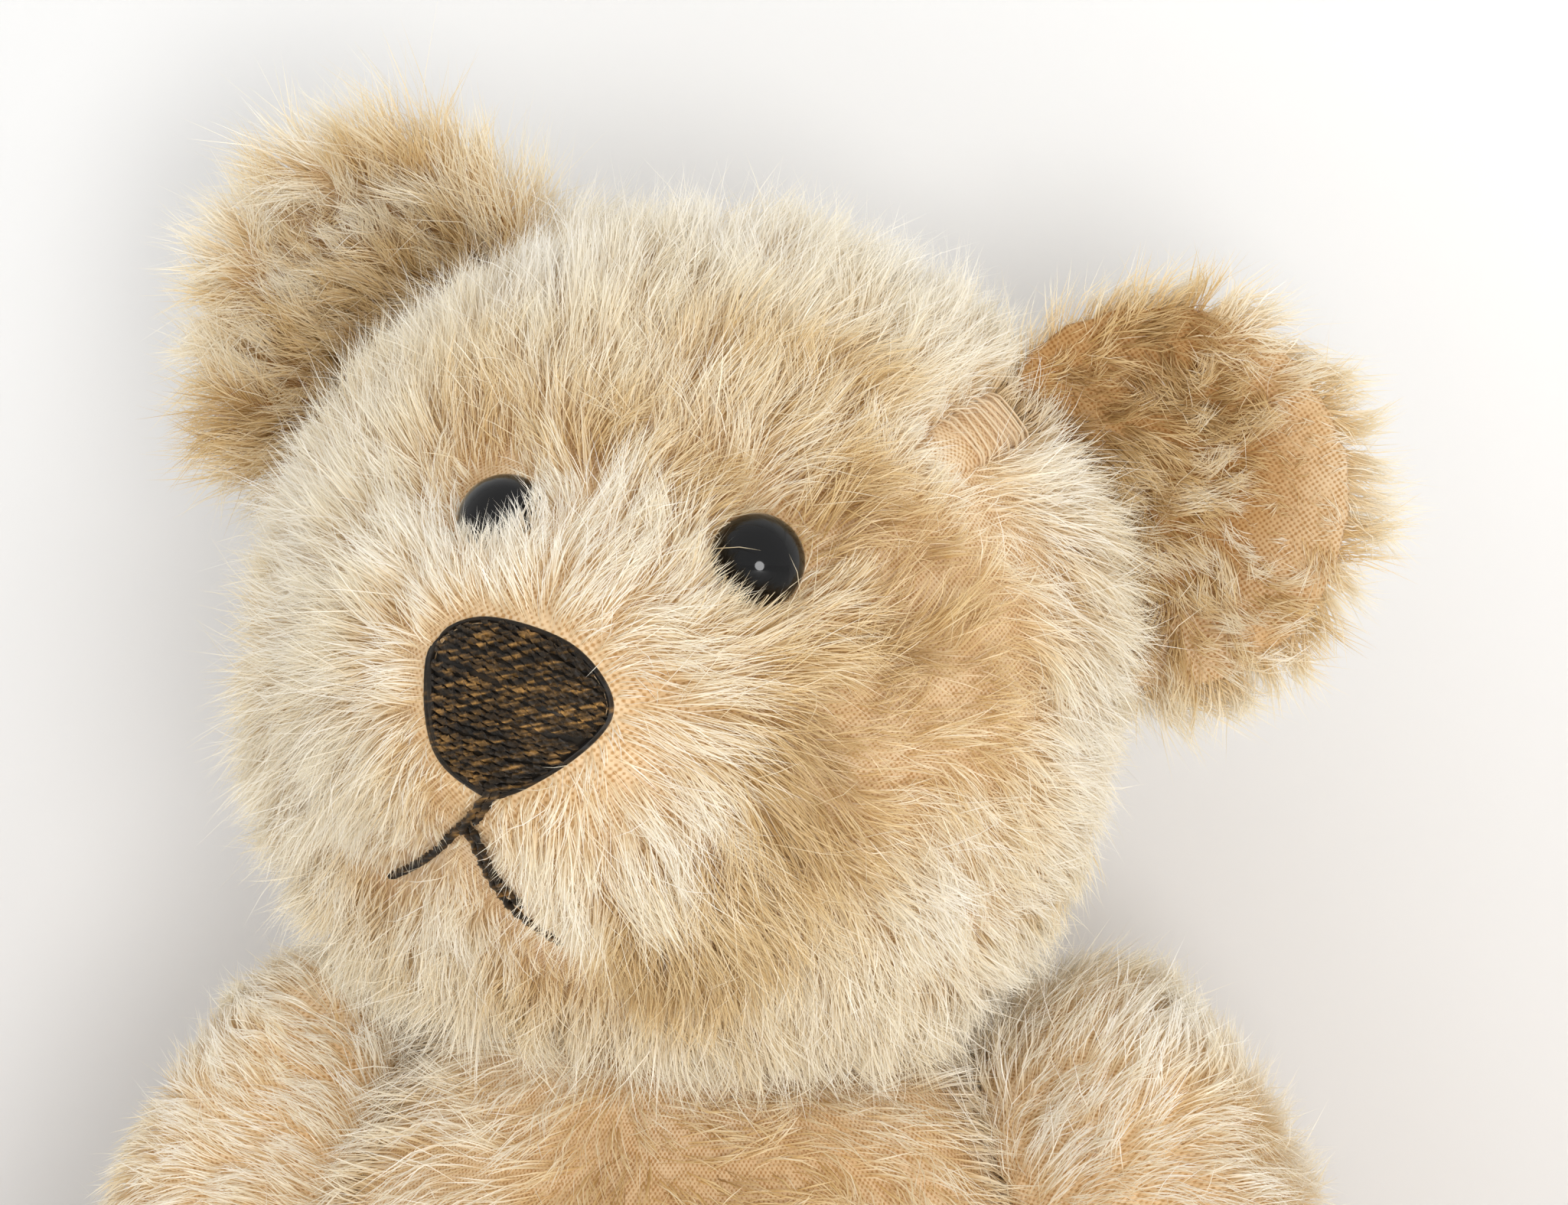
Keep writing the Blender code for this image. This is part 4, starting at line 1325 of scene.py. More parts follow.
    def weave(self, points: Array) -> Array:
        """Gives places on the cloth."""
        x, y, z = points.T
        height = np.arcsin(np.clip(z / np.linalg.norm(points, axis=1), -1, 1))
        soil_and_shade = 0.15 + 0.40 * near(points, (0.0220, -0.0270, 0.0100), 0.0100)
        return np.column_stack([np.arctan2(x, -y) * 0.038, height * 0.040, soil_and_shade])

    def held(self, points: Array) -> Array:
        """Tells how firmly the eyes, the nose, the neck and the gusset's seams hold the cloth."""
        x, y, z = points.T
        gusset = (np.abs(x) - 0.017) / 0.0010
        return np.max([
            np.exp(-((self.from_eyes(points) / 0.0065) ** 2)),
            np.where(y < -0.034, rise(NOSE.share(points[:, [0, 2]]), 1.6, 1.2), 0.0),
            rise(z, -0.0315, -0.0330) * (np.hypot(x, y) < 0.024),
            np.exp(-(gusset**2)) * (z > -0.005)], axis=0)


# Lines across each ear, seen from ahead, along which shade is painted: the pile's tone and the cloth are
# darkened there
EAR_SHADE_LINES = {1: ((-0.0110, 0.0010), (-0.0090, 0.0090), (-0.0045, 0.0150)),
           -1: ((-0.0060, -0.0090), (0.0030, 0.0005), (0.0100, 0.0080))}


@dataclass
class Ear(Bag):
    """An ear: one is still shaggy, and the other is worn to its cloth in front.

    Attributes:
        side: 1 for the left ear and -1 for the right.
        shaggy: True if it still has most of its pile.
        hollow: How deep the middle of the ear lies behind its rim.
        wisps: Where a shaggy ear has longer wisps, seen from ahead.
        left: The line down a worn ear's front where some pile is left.
    """

    side: int = 1
    shaggy: bool = False
    hollow: float = 0.0063
    wisps: tuple = ((0.0010, 0.0185), (0.0140, 0.0130), (-0.0110, 0.0140))
    left: tuple = ((0.0010, 0.0110), (-0.0010, 0.0000), (0.0040, -0.0100))

    def front(self, points: Array) -> Array:
        """Tells the ear's hollow front, 1, from its domed back, 0."""
        between = self.hollow * (1 - (points[:, 0] ** 2 + points[:, 2] ** 2) / EAR_RADIUS**2)
        return rise(points[:, 1] - between, 0.0003, -0.0004)

    def worn(self, points: Array) -> Array:
        """Tells how far the pile has worn away, from 0 to 1."""
        if self.shaggy:
            return np.zeros(len(points))
        left = near_line(points[:, [0, 2]], self.left, 0.0085) + 0.30 * ripples(points, 0.0052, 8)
        return rise(left, 0.60, 0.20) * self.front(points)

    def growth(self, points: Array) -> Growth:
        """Tells how the pile grows."""
        flat = points[:, [0, 2]]
        out = np.hypot(*flat.T)
        front = self.front(points)
        way = points - np.array([-self.side * 0.016, 0.0, -0.004 if self.shaggy else 0.008])
        way[:, 1] = 0.0
        way = unit(way)
        way[:, 1] -= 0.25 * rise(out, 0.013, 0.018)
        rim = rise(out / EAR_RADIUS, 0.62, 1.0)
        tone = 0.60 + 0.06 * ripples(points, 0.009, 6)
        # painted shade: the pile's tone darkens into the hollow of the ear's front, and along the shade line
        hollow_shade = rise(out / EAR_RADIUS, 1.0, 0.55) * front
        if self.shaggy:
            length = 0.68 + 0.40 * rim + sum(0.34 * near(flat, spot, 0.0016) for spot in self.wisps)
            tone -= 0.12 * hollow_shade + 0.20 * near_line(flat, EAR_SHADE_LINES[self.side], 0.0052) * front
        else:
            length = (0.68 - 0.06 * front + (0.40 - 0.10 * front) * rim) * (1 - 0.60 * self.worn(points))
            tone -= 0.16 * hollow_shade + 0.42 * near_line(flat, EAR_SHADE_LINES[self.side], 0.0064) * front
        return Growth(way, length, tone, lie=0.0 if self.shaggy else 0.25, tousle=1.7)

    def density(self, points: Array) -> Array:
        """Tells how thickly the pile grows."""
        if self.shaggy:
            return np.ones(len(points))
        tufts = rise(ripples(points, 0.0050, 33), -0.8, 0.1)
        return (1 - 0.60 * self.front(points) * (1 - tufts)) * (1 - 0.80 * self.worn(points))

    def weave(self, points: Array) -> Array:
        """Gives places on the cloth."""
        flat = points[:, [0, 2]]
        # the cloth darkens towards the ear's middle, and painted shade darkens it along the shade line
        soil_and_shade = 1.0 - 0.60 * rise(np.hypot(*flat.T) / EAR_RADIUS, 0.45, 0.9)
        soil_and_shade += 0.9 * near_line(flat, EAR_SHADE_LINES[self.side], 0.0080)
        return np.column_stack([flat, np.minimum(soil_and_shade, 1.5)])


@dataclass
class Torso(Bag):
    """The torso: its pile is brushed down, and worn short and golden on the chest.

    Attributes:
        joints: Where the neck, the left shoulder and the left hip hold the cloth, and how far out.
    """

    joints: tuple = (((-0.0056, -0.0030, 0.1178), 0.020), ((0.0330, 0.0020, 0.0970), 0.020),
                     ((0.0375, 0.0020, 0.0205), 0.022))

    def chest(self, points: Array) -> Array:
        """Tells how near the rubbed middle of the chest each point is."""
        return near(points, (0.0095, -0.0270, 0.0960), 0.0190) * rise(points[:, 1], 0.0, -0.010)

    def shown(self, points: Array) -> Array:
        """Tells the fine coat of the upper front, 1, from the coarse coat elsewhere, 0."""
        return rise(points[:, 2], 0.075, 0.095) * rise(points[:, 1], 0.006, -0.008)

    def growth(self, points: Array) -> Growth:
        """Tells how the pile grows."""
        x, _, z = points.T
        chest = self.chest(points)
        high = rise(z, 0.075, 0.100)
        spread = 14.0 * x + 1.1 * high * np.tanh((x + 0.004) / 0.012)
        way = np.column_stack([spread, 0.0 * x, 0.5 * high - 1.0])
        return Growth(way, 0.95 - 0.38 * chest, 0.80 - 0.62 * chest + 0.08 * ripples(points, 0.018, 9),
                      lie=0.05 + 0.4 * chest, tousle=1.2, coarse=2.0 - 0.9 * self.shown(points))

    def density(self, points: Array) -> Array:
        """Tells how thickly the pile grows."""
        return (0.36 + 0.64 * self.shown(points)) * (1 - 0.25 * self.chest(points))

    def weave(self, points: Array) -> Array:
        """Gives places on the cloth."""
        x, y, z = points.T
        return np.column_stack([np.arctan2(x, -y) * 0.038, z, 0.6 * self.chest(points)])

    def held(self, points: Array) -> Array:
        """Tells how firmly the middle seam and the joints hold the cloth."""
        firm = np.exp(-((points[:, 0] / 0.0012) ** 2))
        for middle, reach in self.joints:
            away = (points if middle[0] < 0 else mirrored(points)) - np.array(middle)
            firm = np.maximum(firm, rise(np.linalg.norm(away, axis=1), reach + 0.004, reach))
        return firm


@dataclass
class Limb(Bag):
    """An arm or a leg.

    Attributes:
        side: 1 for the left one and -1 for the right.
        joint: How far out from its joint's middle the disc holds the cloth.
    """

    side: int = 1
    joint: float = 0.017

    def held(self, points: Array) -> Array:
        """Tells how firmly the joint's disc holds the cloth at each point."""
        x, y, z = points.T
        return rise(x * self.side, 0.004, 0.002) * rise(np.hypot(y, z), self.joint + 0.003, self.joint)


@dataclass
class Arm(Limb):
    """An arm: its pile is brushed down it and a little outward, and is shorter on its outer side.

    Attributes:
        trim: How much shorter the pile is there, for the left arm and the right.
    """

    trim: tuple[float, float] = (0.28, 0.40)

    def shown(self, points: Array) -> Array:
        """Tells the fine coat of the upper front, 1, from the coarse coat elsewhere, 0."""
        return rise(points[:, 2], -0.045, -0.025) * rise(points[:, 1], 0.012, 0.004)

    def growth(self, points: Array) -> Growth:
        """Tells how the pile grows."""
        x, _, z = points.T
        top = rise(z, -0.016, 0.006)
        way = np.column_stack([self.side * (0.35 + 0.75 * top), -0.15 - 0.2 * top, -1.0 + 1.5 * top])
        outer = rise(x * self.side, 0.001, 0.009)
        length = (1.0 - 0.5 * rise(z, -0.055, -0.080)) * (1 - self.trim[self.side < 0] * outer)
        return Growth(way, length, 0.80 + 0.07 * ripples(points, 0.013, 14 + self.side),
                      coarse=1.6 - 0.6 * self.shown(points))

    def density(self, points: Array) -> Array:
        """Tells how thickly the pile grows."""
        return (0.45 + 0.55 * self.shown(points)) * self.off_pad(points)

    def weave(self, points: Array) -> Array:
        """Gives places on the cloth."""
        x, y, z = points.T
        return np.column_stack([np.arctan2(x, -y) * 0.0135, z, 0.0 * z])


@dataclass
class Leg(Limb):
    """A leg: its pile is brushed along it to the foot."""

    def growth(self, points: Array) -> Growth:
        """Tells how the pile grows."""
        way = np.tile((self.side * 0.2, -1.0, -0.35), (len(points), 1))
        return Growth(way, 0.78 - 0.36 * rise(points[:, 1], -0.096, -0.112),
                      0.74 + 0.08 * ripples(points, 0.015, 25 + self.side), lie=0.2)

    def density(self, points: Array) -> Array:
        """Tells how thickly the pile grows."""
        return (0.85 + 0.15 * ripples(points, 0.014, 24)) * self.off_pad(points)

    def weave(self, points: Array) -> Array:
        """Gives places on the cloth."""
        x, y, z = points.T
        return np.column_stack([np.arctan2(x, z) * 0.019, y, 0.0 * y])


# ---- sewing
# How thick a thread is at each end, and one point in from it
TAPER = (0.45, 0.85)


def straight_spline(curve: bpy.types.Curve, count: int) -> bpy.types.Spline:
    """Adds a spline of straight runs between a number of points to a curve."""
    spline = curve.splines.new("POLY")
    spline.points.add(count - 1)
    return spline


class Lay(Enum):
    """How a thread is made up."""

    TWISTED = "two strands twisted together"
    ROUND = "a smooth round thread"


@dataclass(frozen=True)
class Thread:
    """A sewing thread.

    Attributes:
        radius: Its radius.
        lay: How it is made up.
        twist: The length of one full twist.
        step: The distance between its points.
    """

    radius: float
    lay: Lay = Lay.ROUND
    twist: float = 0.0022
    step: float = 0.00045

    def section(self) -> bpy.types.Object:
        """Draws the thread's section as a closed curve."""
        count = 8 if self.lay is Lay.TWISTED else 6
        curve = bpy.data.curves.new("section", "CURVE")
        spline = straight_spline(curve, count)
        for i, point in enumerate(spline.points):
            turn = 2 * math.pi * i / count
            lobe = 0.78 + 0.30 * math.cos(2 * turn) if self.lay is Lay.TWISTED else 1.0
            point.co = (self.radius * lobe * math.cos(turn), self.radius * lobe * math.sin(turn), 0.0, 1.0)
        spline.use_cyclic_u = True
        return put_in("section", curve)

    def sew(self, name: str, lines: Sequence[Sequence[Vector]], finish: Finish, body: str, slot: str,
            node: str = "") -> None:
        """Lays the thread along lines and makes it a mesh.

        Args:
            name: The piece's name.
            lines: The lines that it follows, each a list of points.
            finish: Its finish.
            body: The body that it rides on.
            slot: Not used.
            node: The CAD node that it stands for, if any.
        """
        section = self.section()
        curve = bpy.data.curves.new(name, "CURVE")
        curve.dimensions = "3D"
        curve.bevel_mode = "OBJECT"
        curve.bevel_object = section
        curve.use_fill_caps = True
        for line in lines:
            spots = even_points(np.array(line), self.step)
            along = walked(spots)
            for i, point in enumerate(straight_spline(curve, len(spots)).points):
                point.co = (*spots[i], 1.0)
                ends = min(i, len(spots) - 1 - i)
                point.radius = TAPER[ends] if ends < len(TAPER) else 1.0
                if self.lay is Lay.TWISTED:
                    point.tilt = 2 * math.pi * along[i] / self.twist
        only(put_in(name, curve))
        bpy.ops.object.convert(target="MESH")
        obj = bpy.context.object
        bpy.data.objects.remove(section)
        face_outwards(obj, merge=1e-7)
        bpy.ops.object.shade_smooth_by_angle(angle=math.radians(60))
        hand_over(obj, finish, body, node)
        LOG.info("%s: %d lines, %d faces", name, len(lines), len(obj.data.polygons))


def walked(line: Array) -> Array:
    """Tells how far along a line each of its points is."""
    return np.concatenate([[0], np.cumsum(np.linalg.norm(np.diff(line, axis=0), axis=1))])


def even_points(line: Array, step: float) -> Array:
    """Rounds a line off and gives points along it at an even distance.

    Args:
        line: Its corners.
        step: The distance between points.

    Returns:
        The points.
    """
    if len(line) > 2:
        padded = np.vstack([2 * line[0] - line[1], line, 2 * line[-1] - line[-2]])
        t = np.linspace(0, 1, 8, endpoint=False)[:, None]
        pieces = [through(*four, t) for four in zip(padded, padded[1:], padded[2:], padded[3:])]
        line = np.vstack([*pieces, line[-1:]])
    along = walked(line)
    marks = np.linspace(0, along[-1], max(3, round(along[-1] / step) + 1))
    return np.column_stack([np.interp(marks, along, line[:, k]) for k in range(3)])


# ---- the face
@dataclass
class Nose:
    """The nose: rows of black thread laid side by side over a pad, with an outline sewn round them.

    Attributes:
        head: The head that it is sewn to.
        lean: The head's angle.
        rise_height: How far the pad stands off the muzzle.
        pitch: The distance between two rows.
        slant: How far the rows drop from left to right, as a slope.
        fan: How far the rows draw together at the right corner, as a slope.
        bow: How far the rows' ends bend towards the nose's middle.
    """

    head: Head
    lean: float
    rise_height: float = 0.0017
    pitch: float = 0.00056
    slant: float = -0.08
    fan: float = 0.20
    bow: float = 0.0007

    def lift(self, spot: tuple[float, float]) -> float:
        """How far the pad stands off the muzzle at a spot."""
        share = min(1.0, float(NOSE.share(np.array([spot]))[0]))
        return self.rise_height * (1 - share**2.4) ** 0.8

    def on_pad(self, across: float, up: float, proud: float) -> Vector:
        """Finds the point over the pad at a spot, in the bear's frame."""
        return self.head.skin.front(across, up, self.lift((across, up)) + proud)

    def make_pad(self) -> None:
        """Makes the dark pad under the threads: a lens with the nose's outline, laid on the muzzle."""
        pad = start_from("nose_pad", bpy.ops.mesh.primitive_uv_sphere_add, segments=40, ring_count=14,
                         radius=1.0)
        places = []
        for point in mesh_points(pad.data):
            flat = point[:2] if np.linalg.norm(point[:2]) > 1e-6 else np.array((1e-6, 0.0))
            size = np.linalg.norm(flat)
            way = flat / size * np.array(NOSE.half)
            spot = np.array(NOSE.middle) + way * self.reach(way) * size
            proud = -0.0002 if point[2] > 0 else -self.lift(tuple(spot)) - 0.0006
            places.append(self.on_pad(*spot, proud))
        move_points(pad, np.array(places))
        face_outwards(pad)
        bpy.ops.object.shade_smooth()
        finish = Embroidery("nose_pad_thread", self.lean, 0.1)
        hand_over(pad, finish, "head", "nose_stitching")

    def reach(self, way: Array) -> float:
        """How far the outline is from the middle along a way, as a share of the way's own length."""
        return 1.0 / float(NOSE.share((np.array(NOSE.middle) + way)[None])[0])

    def rows(self) -> list[list[Vector]]:
        """Lays the rows of thread from edge to edge."""
        rng = np.random.default_rng(5)
        low, high = (edge(NOSE.outline(), axis=0) for edge in (np.min, np.max))
        across = np.linspace(low[0], high[0], 60)
        share = (across - NOSE.middle[0]) / NOSE.half[0]
        rows = []
        for level in np.arange(low[1] - 0.001, high[1] + 0.001, self.pitch):
            height = (level - NOSE.middle[1]) / NOSE.half[1]
            tilt = self.slant - self.fan * height + rng.normal() * 0.018
            up = level + tilt * (across - NOSE.middle[0]) - self.bow * height * share**2
            inside = NOSE.share(np.column_stack([across, up])) < 0.985
            if inside.sum() < 5:
                continue
            wobble = rng.normal(size=3) * 0.00005
            proud = 0.00012 + rng.uniform(-0.00006, 0.00010)
            picked = np.nonzero(inside)[0][::3]
            rows.append([self.on_pad(across[i], up[i] + wobble[i % 3], proud) for i in picked])
        return rows

    def round_edge(self) -> list[list[Vector]]:
        """Lays the outline: two threads down the left edge and one round the rest."""
        outline = NOSE.outline()
        middle = np.array(NOSE.middle)
        closed = np.vstack([outline, outline[:1]])
        lines = []
        for grow_by, start, stop in ((1.0, 0, len(closed)), (0.955, 84, 109), (1.03, 60, 108)):
            spots = middle + (closed[np.arange(start, stop) % len(outline)] - middle) * grow_by
            lines.append([self.on_pad(x, z, 0.00014) for x, z in spots[::3]])
        return lines

    def build(self) -> None:
        """Makes the whole nose."""
        self.make_pad()
        threads = Thread(0.00033, Lay.TWISTED, twist=0.0030, step=0.00055)
        finish = Embroidery("nose_row_thread", self.lean, 0.62)
        threads.sew("nose_rows", self.rows(), finish, "head", "nose_thread")
        edge = Thread(0.00029, step=0.0006)
        finish = Embroidery("nose_edge_thread", self.lean, 0.15)
        edge.sew("nose_outline", self.round_edge(), finish, "head", "nose_thread")


@dataclass
class Mouth:
    """The mouth: a short stitch down from the nose and two long ones that part below it.

    Attributes:
        head: The head that it is sewn to.
        lean: The head's angle.
    """

    head: Head
    lean: float

    def line(self, spots: Sequence[tuple[float, float]],
             shift: tuple[float, float] = (0.0, 0.0)) -> list[Vector]:
        """Lays a line of spots on the muzzle, its ends drawn into the cloth."""
        proud = [0.0004 if i in (0, len(spots) - 1) else 0.00080 for i in range(len(spots))]
        return [self.head.skin.front(x + shift[0], z + shift[1], out) for (x, z), out in zip(spots, proud)]

    def build(self) -> None:
        """Sews the mouth."""
        top = ((-0.0034, -0.0100), (-0.0046, -0.0120), (-0.0060, -0.0138), (-0.0068, -0.0152))
        finish = Embroidery("mouth_thread", self.lean, 0.4)
        thread = Thread(0.00042, Lay.TWISTED, twist=0.0034, step=0.0005)
        thread.sew("lip_thread", [self.line(top), self.line(top[:3], (0.0007, 0.0))], finish, "head",
                   "nose_thread", "lip_stitch")
        lines = [self.line(MOUTH_LEFT), self.line(MOUTH_RIGHT), self.line(MOUTH_LEFT[:2], (0.0004, 0.0005)),
                 self.line(MOUTH_RIGHT[:4], (0.0006, 0.0002))]
        thread.sew("mouth_threads", lines, finish, "head", "nose_thread", "mouth_stitch")


@dataclass
class Eye:
    """A black shoe-button eye: a deep glossy dome with a rolled edge.

    Attributes:
        label: Left or right.
        shift: How far it sits from its CAD place, in the head's own axes.
    """

    label: str
    shift: Triple = (0.0, 0.0, 0.0)

    def build(self, head: Place) -> None:
        """Makes the eye over its CAD place.

        Args:
            head: The head's own axes.
        """
        low, high = (Vector(corner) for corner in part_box(f"{self.label}_eye"))
        node = bpy.data.objects[f"{self.label}_eye"]
        middle = (low + high) / 2 + head.turn @ Vector(self.shift)
        points = mesh_points(node.data)
        spread = points - points.mean(axis=0)
        way = Vector(np.linalg.svd(spread, full_matrices=False)[2][2])
        if (head.turn.inverted() @ way).y > 0:
            way = -way
        eye = start_from(f"{self.label}_eye_button", bpy.ops.mesh.primitive_uv_sphere_add, segments=48,
                         ring_count=24, radius=EYE_RADIUS)
        shape = mesh_points(eye.data)
        shape[:, 2] = np.where(shape[:, 2] > 0, shape[:, 2] * 0.90, shape[:, 2] * 0.78)
        edge = np.exp(-((shape[:, 2] + 0.0004) / 0.0007) ** 2)
        shape[:, :2] *= (1 + 0.025 * edge)[:, None]
        move_points(eye, shape)
        eye.matrix_world = Matrix.Translation(middle) @ way.to_track_quat("Z", "Y").to_matrix().to_4x4()
        bpy.ops.object.transform_apply(location=True, rotation=True, scale=True)
        bpy.ops.object.shade_smooth()
        hand_over(eye, BUTTON, "head", f"{self.label}_eye")
        LOG.info("%s: a dome %.1f mm across", eye.name, EYE_RADIUS * 2000)


@dataclass
class GussetSeam:
    """The head's mended seam beside the left eye: a ridge of bare cloth with a ladder of stitches over it.

    Attributes:
        head: The head.
        width: Half the ridge's width.
        height: How far it stands off the head.
        stitches: How many stitches cross it.
        pitch: The distance between the points that its shape is read at.
    """

    head: Head
    width: float = 0.0029
    height: float = 0.0011
    stitches: int = 11
    pitch: float = 0.0007

    def spine(self) -> tuple[Array, Array]:
        """Gives points along the ridge in the bear's frame and the cloth's normals there."""
        line = even_points(np.array([self.head.place.point(spot) for spot in self.head.ridge]), self.pitch)
        spots, normals = zip(*(self.head.skin.nearest(spot) for spot in line))
        return np.array(spots), np.array(normals)

    def build(self) -> None:
        """Makes the ridge and its stitches."""
        spots, normals = self.spine()
        along = unit(np.gradient(spots, axis=0))
        across = unit(np.cross(along, normals))
        self.make_ridge(spots, across, normals)
        rng = np.random.default_rng(17)
        lines = []
        for i in np.linspace(0.36 * len(spots), len(spots) - 3, self.stitches):
            k = int(round(i))
            lean = rng.normal() * 0.0003
            reach = self.width * rng.uniform(1.05, 1.35)
            line = []
            for turn in np.linspace(-1, 1, 7):
                out = self.height * math.sqrt(max(0.0, 1 - (0.86 * turn) ** 2)) + 0.00018
                spot = spots[k] + across[k] * turn * reach + along[k] * (lean * turn + 0.0004 * turn)
                line.append(Vector(spot + normals[k] * (out if abs(turn) < 0.99 else 0.0)))
            lines.append(line)
        Thread(0.00014, step=0.0006).sew("mending_stitches", lines, SEWING, "head", "mohair")

    def make_ridge(self, spots: Array, across: Array, normals: Array) -> None:
        """Makes the ridge: a rod with many rings, laid flat along the seam and tapered at its ends.

        Args:
            spots: Points along the seam.
            across: The way across the seam at each of them.
            normals: The cloth's normals there.
        """
        count = len(spots)
        ends = np.minimum(np.arange(count) / 18, np.arange(count)[::-1] / 4)
        swell = np.sqrt(np.clip(1 - (1 - np.clip(ends, 0, 1)) ** 2, 0.04, 1))
        ridge = start_from("mended_seam", bpy.ops.mesh.primitive_cylinder_add, vertices=14, radius=1.0,
                           depth=1.0, end_fill_type="TRIFAN")
        bpy.ops.object.mode_set(mode="EDIT")
        bpy.ops.mesh.bisect(plane_co=(0, 0, 0), plane_no=(0, 0, 1))
        bpy.ops.mesh.select_all(action="DESELECT")
        mesh = bmesh.from_edit_mesh(ridge.data)
        for edge in mesh.edges:
            edge.select = abs(edge.verts[0].co.z - edge.verts[1].co.z) > 0.1
        bmesh.update_edit_mesh(ridge.data)
        bpy.ops.mesh.subdivide(number_cuts=(count - 1) // 2)
        bpy.ops.object.mode_set(mode="OBJECT")
        points = mesh_points(ridge.data)
        place = np.clip((points[:, 2] + 0.5) * (count - 1), 0, count - 1)
        low = np.floor(place).astype(int)
        high = np.minimum(low + 1, count - 1)
        share = (place - low)[:, None]
        middle, side, out, full = (values[low] * (1 - share) + values[high] * share
                                   for values in (spots, across, normals, swell[:, None]))
        full = full * (1 + 0.12 * ripples(points * np.array([1, 1, 9.0]), 1.3, 61))[:, None]
        swollen = side * points[:, :1] * self.width + out * points[:, 1:2] * self.height
        move_points(ridge, middle + swollen * full)
        face_outwards(ridge)
        bpy.ops.object.shade_smooth()
        soil_and_shade = np.full(len(points), 0.25)
        lay_weave(ridge, np.column_stack([points[:, 0] * 0.0024, place * self.pitch, soil_and_shade]))
        hand_over(ridge, BACKING, "head")
        LOG.info("mended_seam: %d faces", len(ridge.data.polygons))


# ---- paws and feet
@dataclass
class Pad:
    """A felt pad on a paw or a foot, overcast round its edge, with claws sewn over its end.

    Attributes:
        limb: The arm or leg that it is sewn to.
        node: The CAD pad that it stands for.
        claws: How far the claws run back over the limb.
        spread: How far the claws fan out, in radians.
        pitch: The distance between two overcast stitches.
    """

    limb: Bag
    node: str
    claws: float = 0.0080
    spread: float = 0.62
    pitch: float = 0.0021

    def spot(self, long: float, wide: float, out: float) -> Vector:
        """Gives a point over the pad, by shares of its half length and width and how far it stands off."""
        form = self.limb.pad
        own = form.middle + form.axes[0] * long * form.half[0] + form.axes[1] * wide * form.half[1]
        return self.limb.place.point(own + form.axes[2] * out)

    def make_felt(self) -> None:
        """Makes the felt: a flattened sphere that the stuffing swells a little."""
        form = self.limb.pad
        felt = start_from(f"{self.node}_felt", bpy.ops.mesh.primitive_uv_sphere_add, segments=56,
                          ring_count=18, radius=1.0)
        points = mesh_points(felt.data)
        reach = np.minimum(1.0, np.hypot(points[:, 0], points[:, 1]))
        out = np.sign(points[:, 2]) * form.half[2] * np.sqrt(1 - reach**8) + 0.0006 * (1 - reach**2)
        out += 0.00012 * ripples(points, 0.5, 71)
        move_points(felt, np.array([self.spot(x, y, o) for (x, y), o in zip(points[:, :2], out)]))
        face_outwards(felt)
        bpy.ops.object.shade_smooth()
        hand_over(felt, FELT, self.limb.body, self.node)

    def overcast(self) -> list[list[Vector]]:
        """Lays the stitches that bind the felt's edge to the cloth."""
        half = self.limb.pad.half
        count = round(math.pi * (half[0] + half[1]) / self.pitch)
        lines = []
        for turn in np.arange(count) * 2 * math.pi / count:
            over = ((0.90, half[2] + 0.00015, -0.012), (0.96, half[2] + 0.0003, 0.0), (1.03, 0.0002, 0.010),
                    (1.05, -0.0009, 0.014))
            lines.append([self.spot(math.cos(turn + skew) * share, math.sin(turn + skew) * share, out)
                          for share, out, skew in over])
        return lines

    def claw_lines(self) -> list[list[Vector]]:
        """Lays four long claw stitches from the pad's end back over the limb."""
        lines = []
        for turn in np.linspace(-self.spread, self.spread, 4):
            rim = self.spot(math.cos(turn) * 0.97, math.sin(turn) * 0.97, self.limb.pad.half[2] + 0.0004)
            line = [rim]
            for back in np.linspace(0.0015, self.claws, 6):
                beyond = self.spot(math.cos(turn) * 1.05, math.sin(turn) * 1.05, -back)
                nearest, normal = self.limb.skin.nearest(beyond)
                line.append(nearest + normal * (0.0005 if back < self.claws * 0.95 else -0.0002))
            lines.append(line)
        return lines

    def build(self) -> None:
        """Makes the felt and its stitches."""
        self.make_felt()
        binding = Thread(0.00020, step=0.0006)
        binding.sew(f"{self.node}_stitches", self.overcast(), SEWING, self.limb.body, "felt")
        claws, finish = Thread(0.00040, Lay.TWISTED, twist=0.0030), Embroidery("claw_thread", 0.0, 0.3)
        claws.sew(f"{self.node}_claws", self.claw_lines(), finish, self.limb.body, "nose_thread")


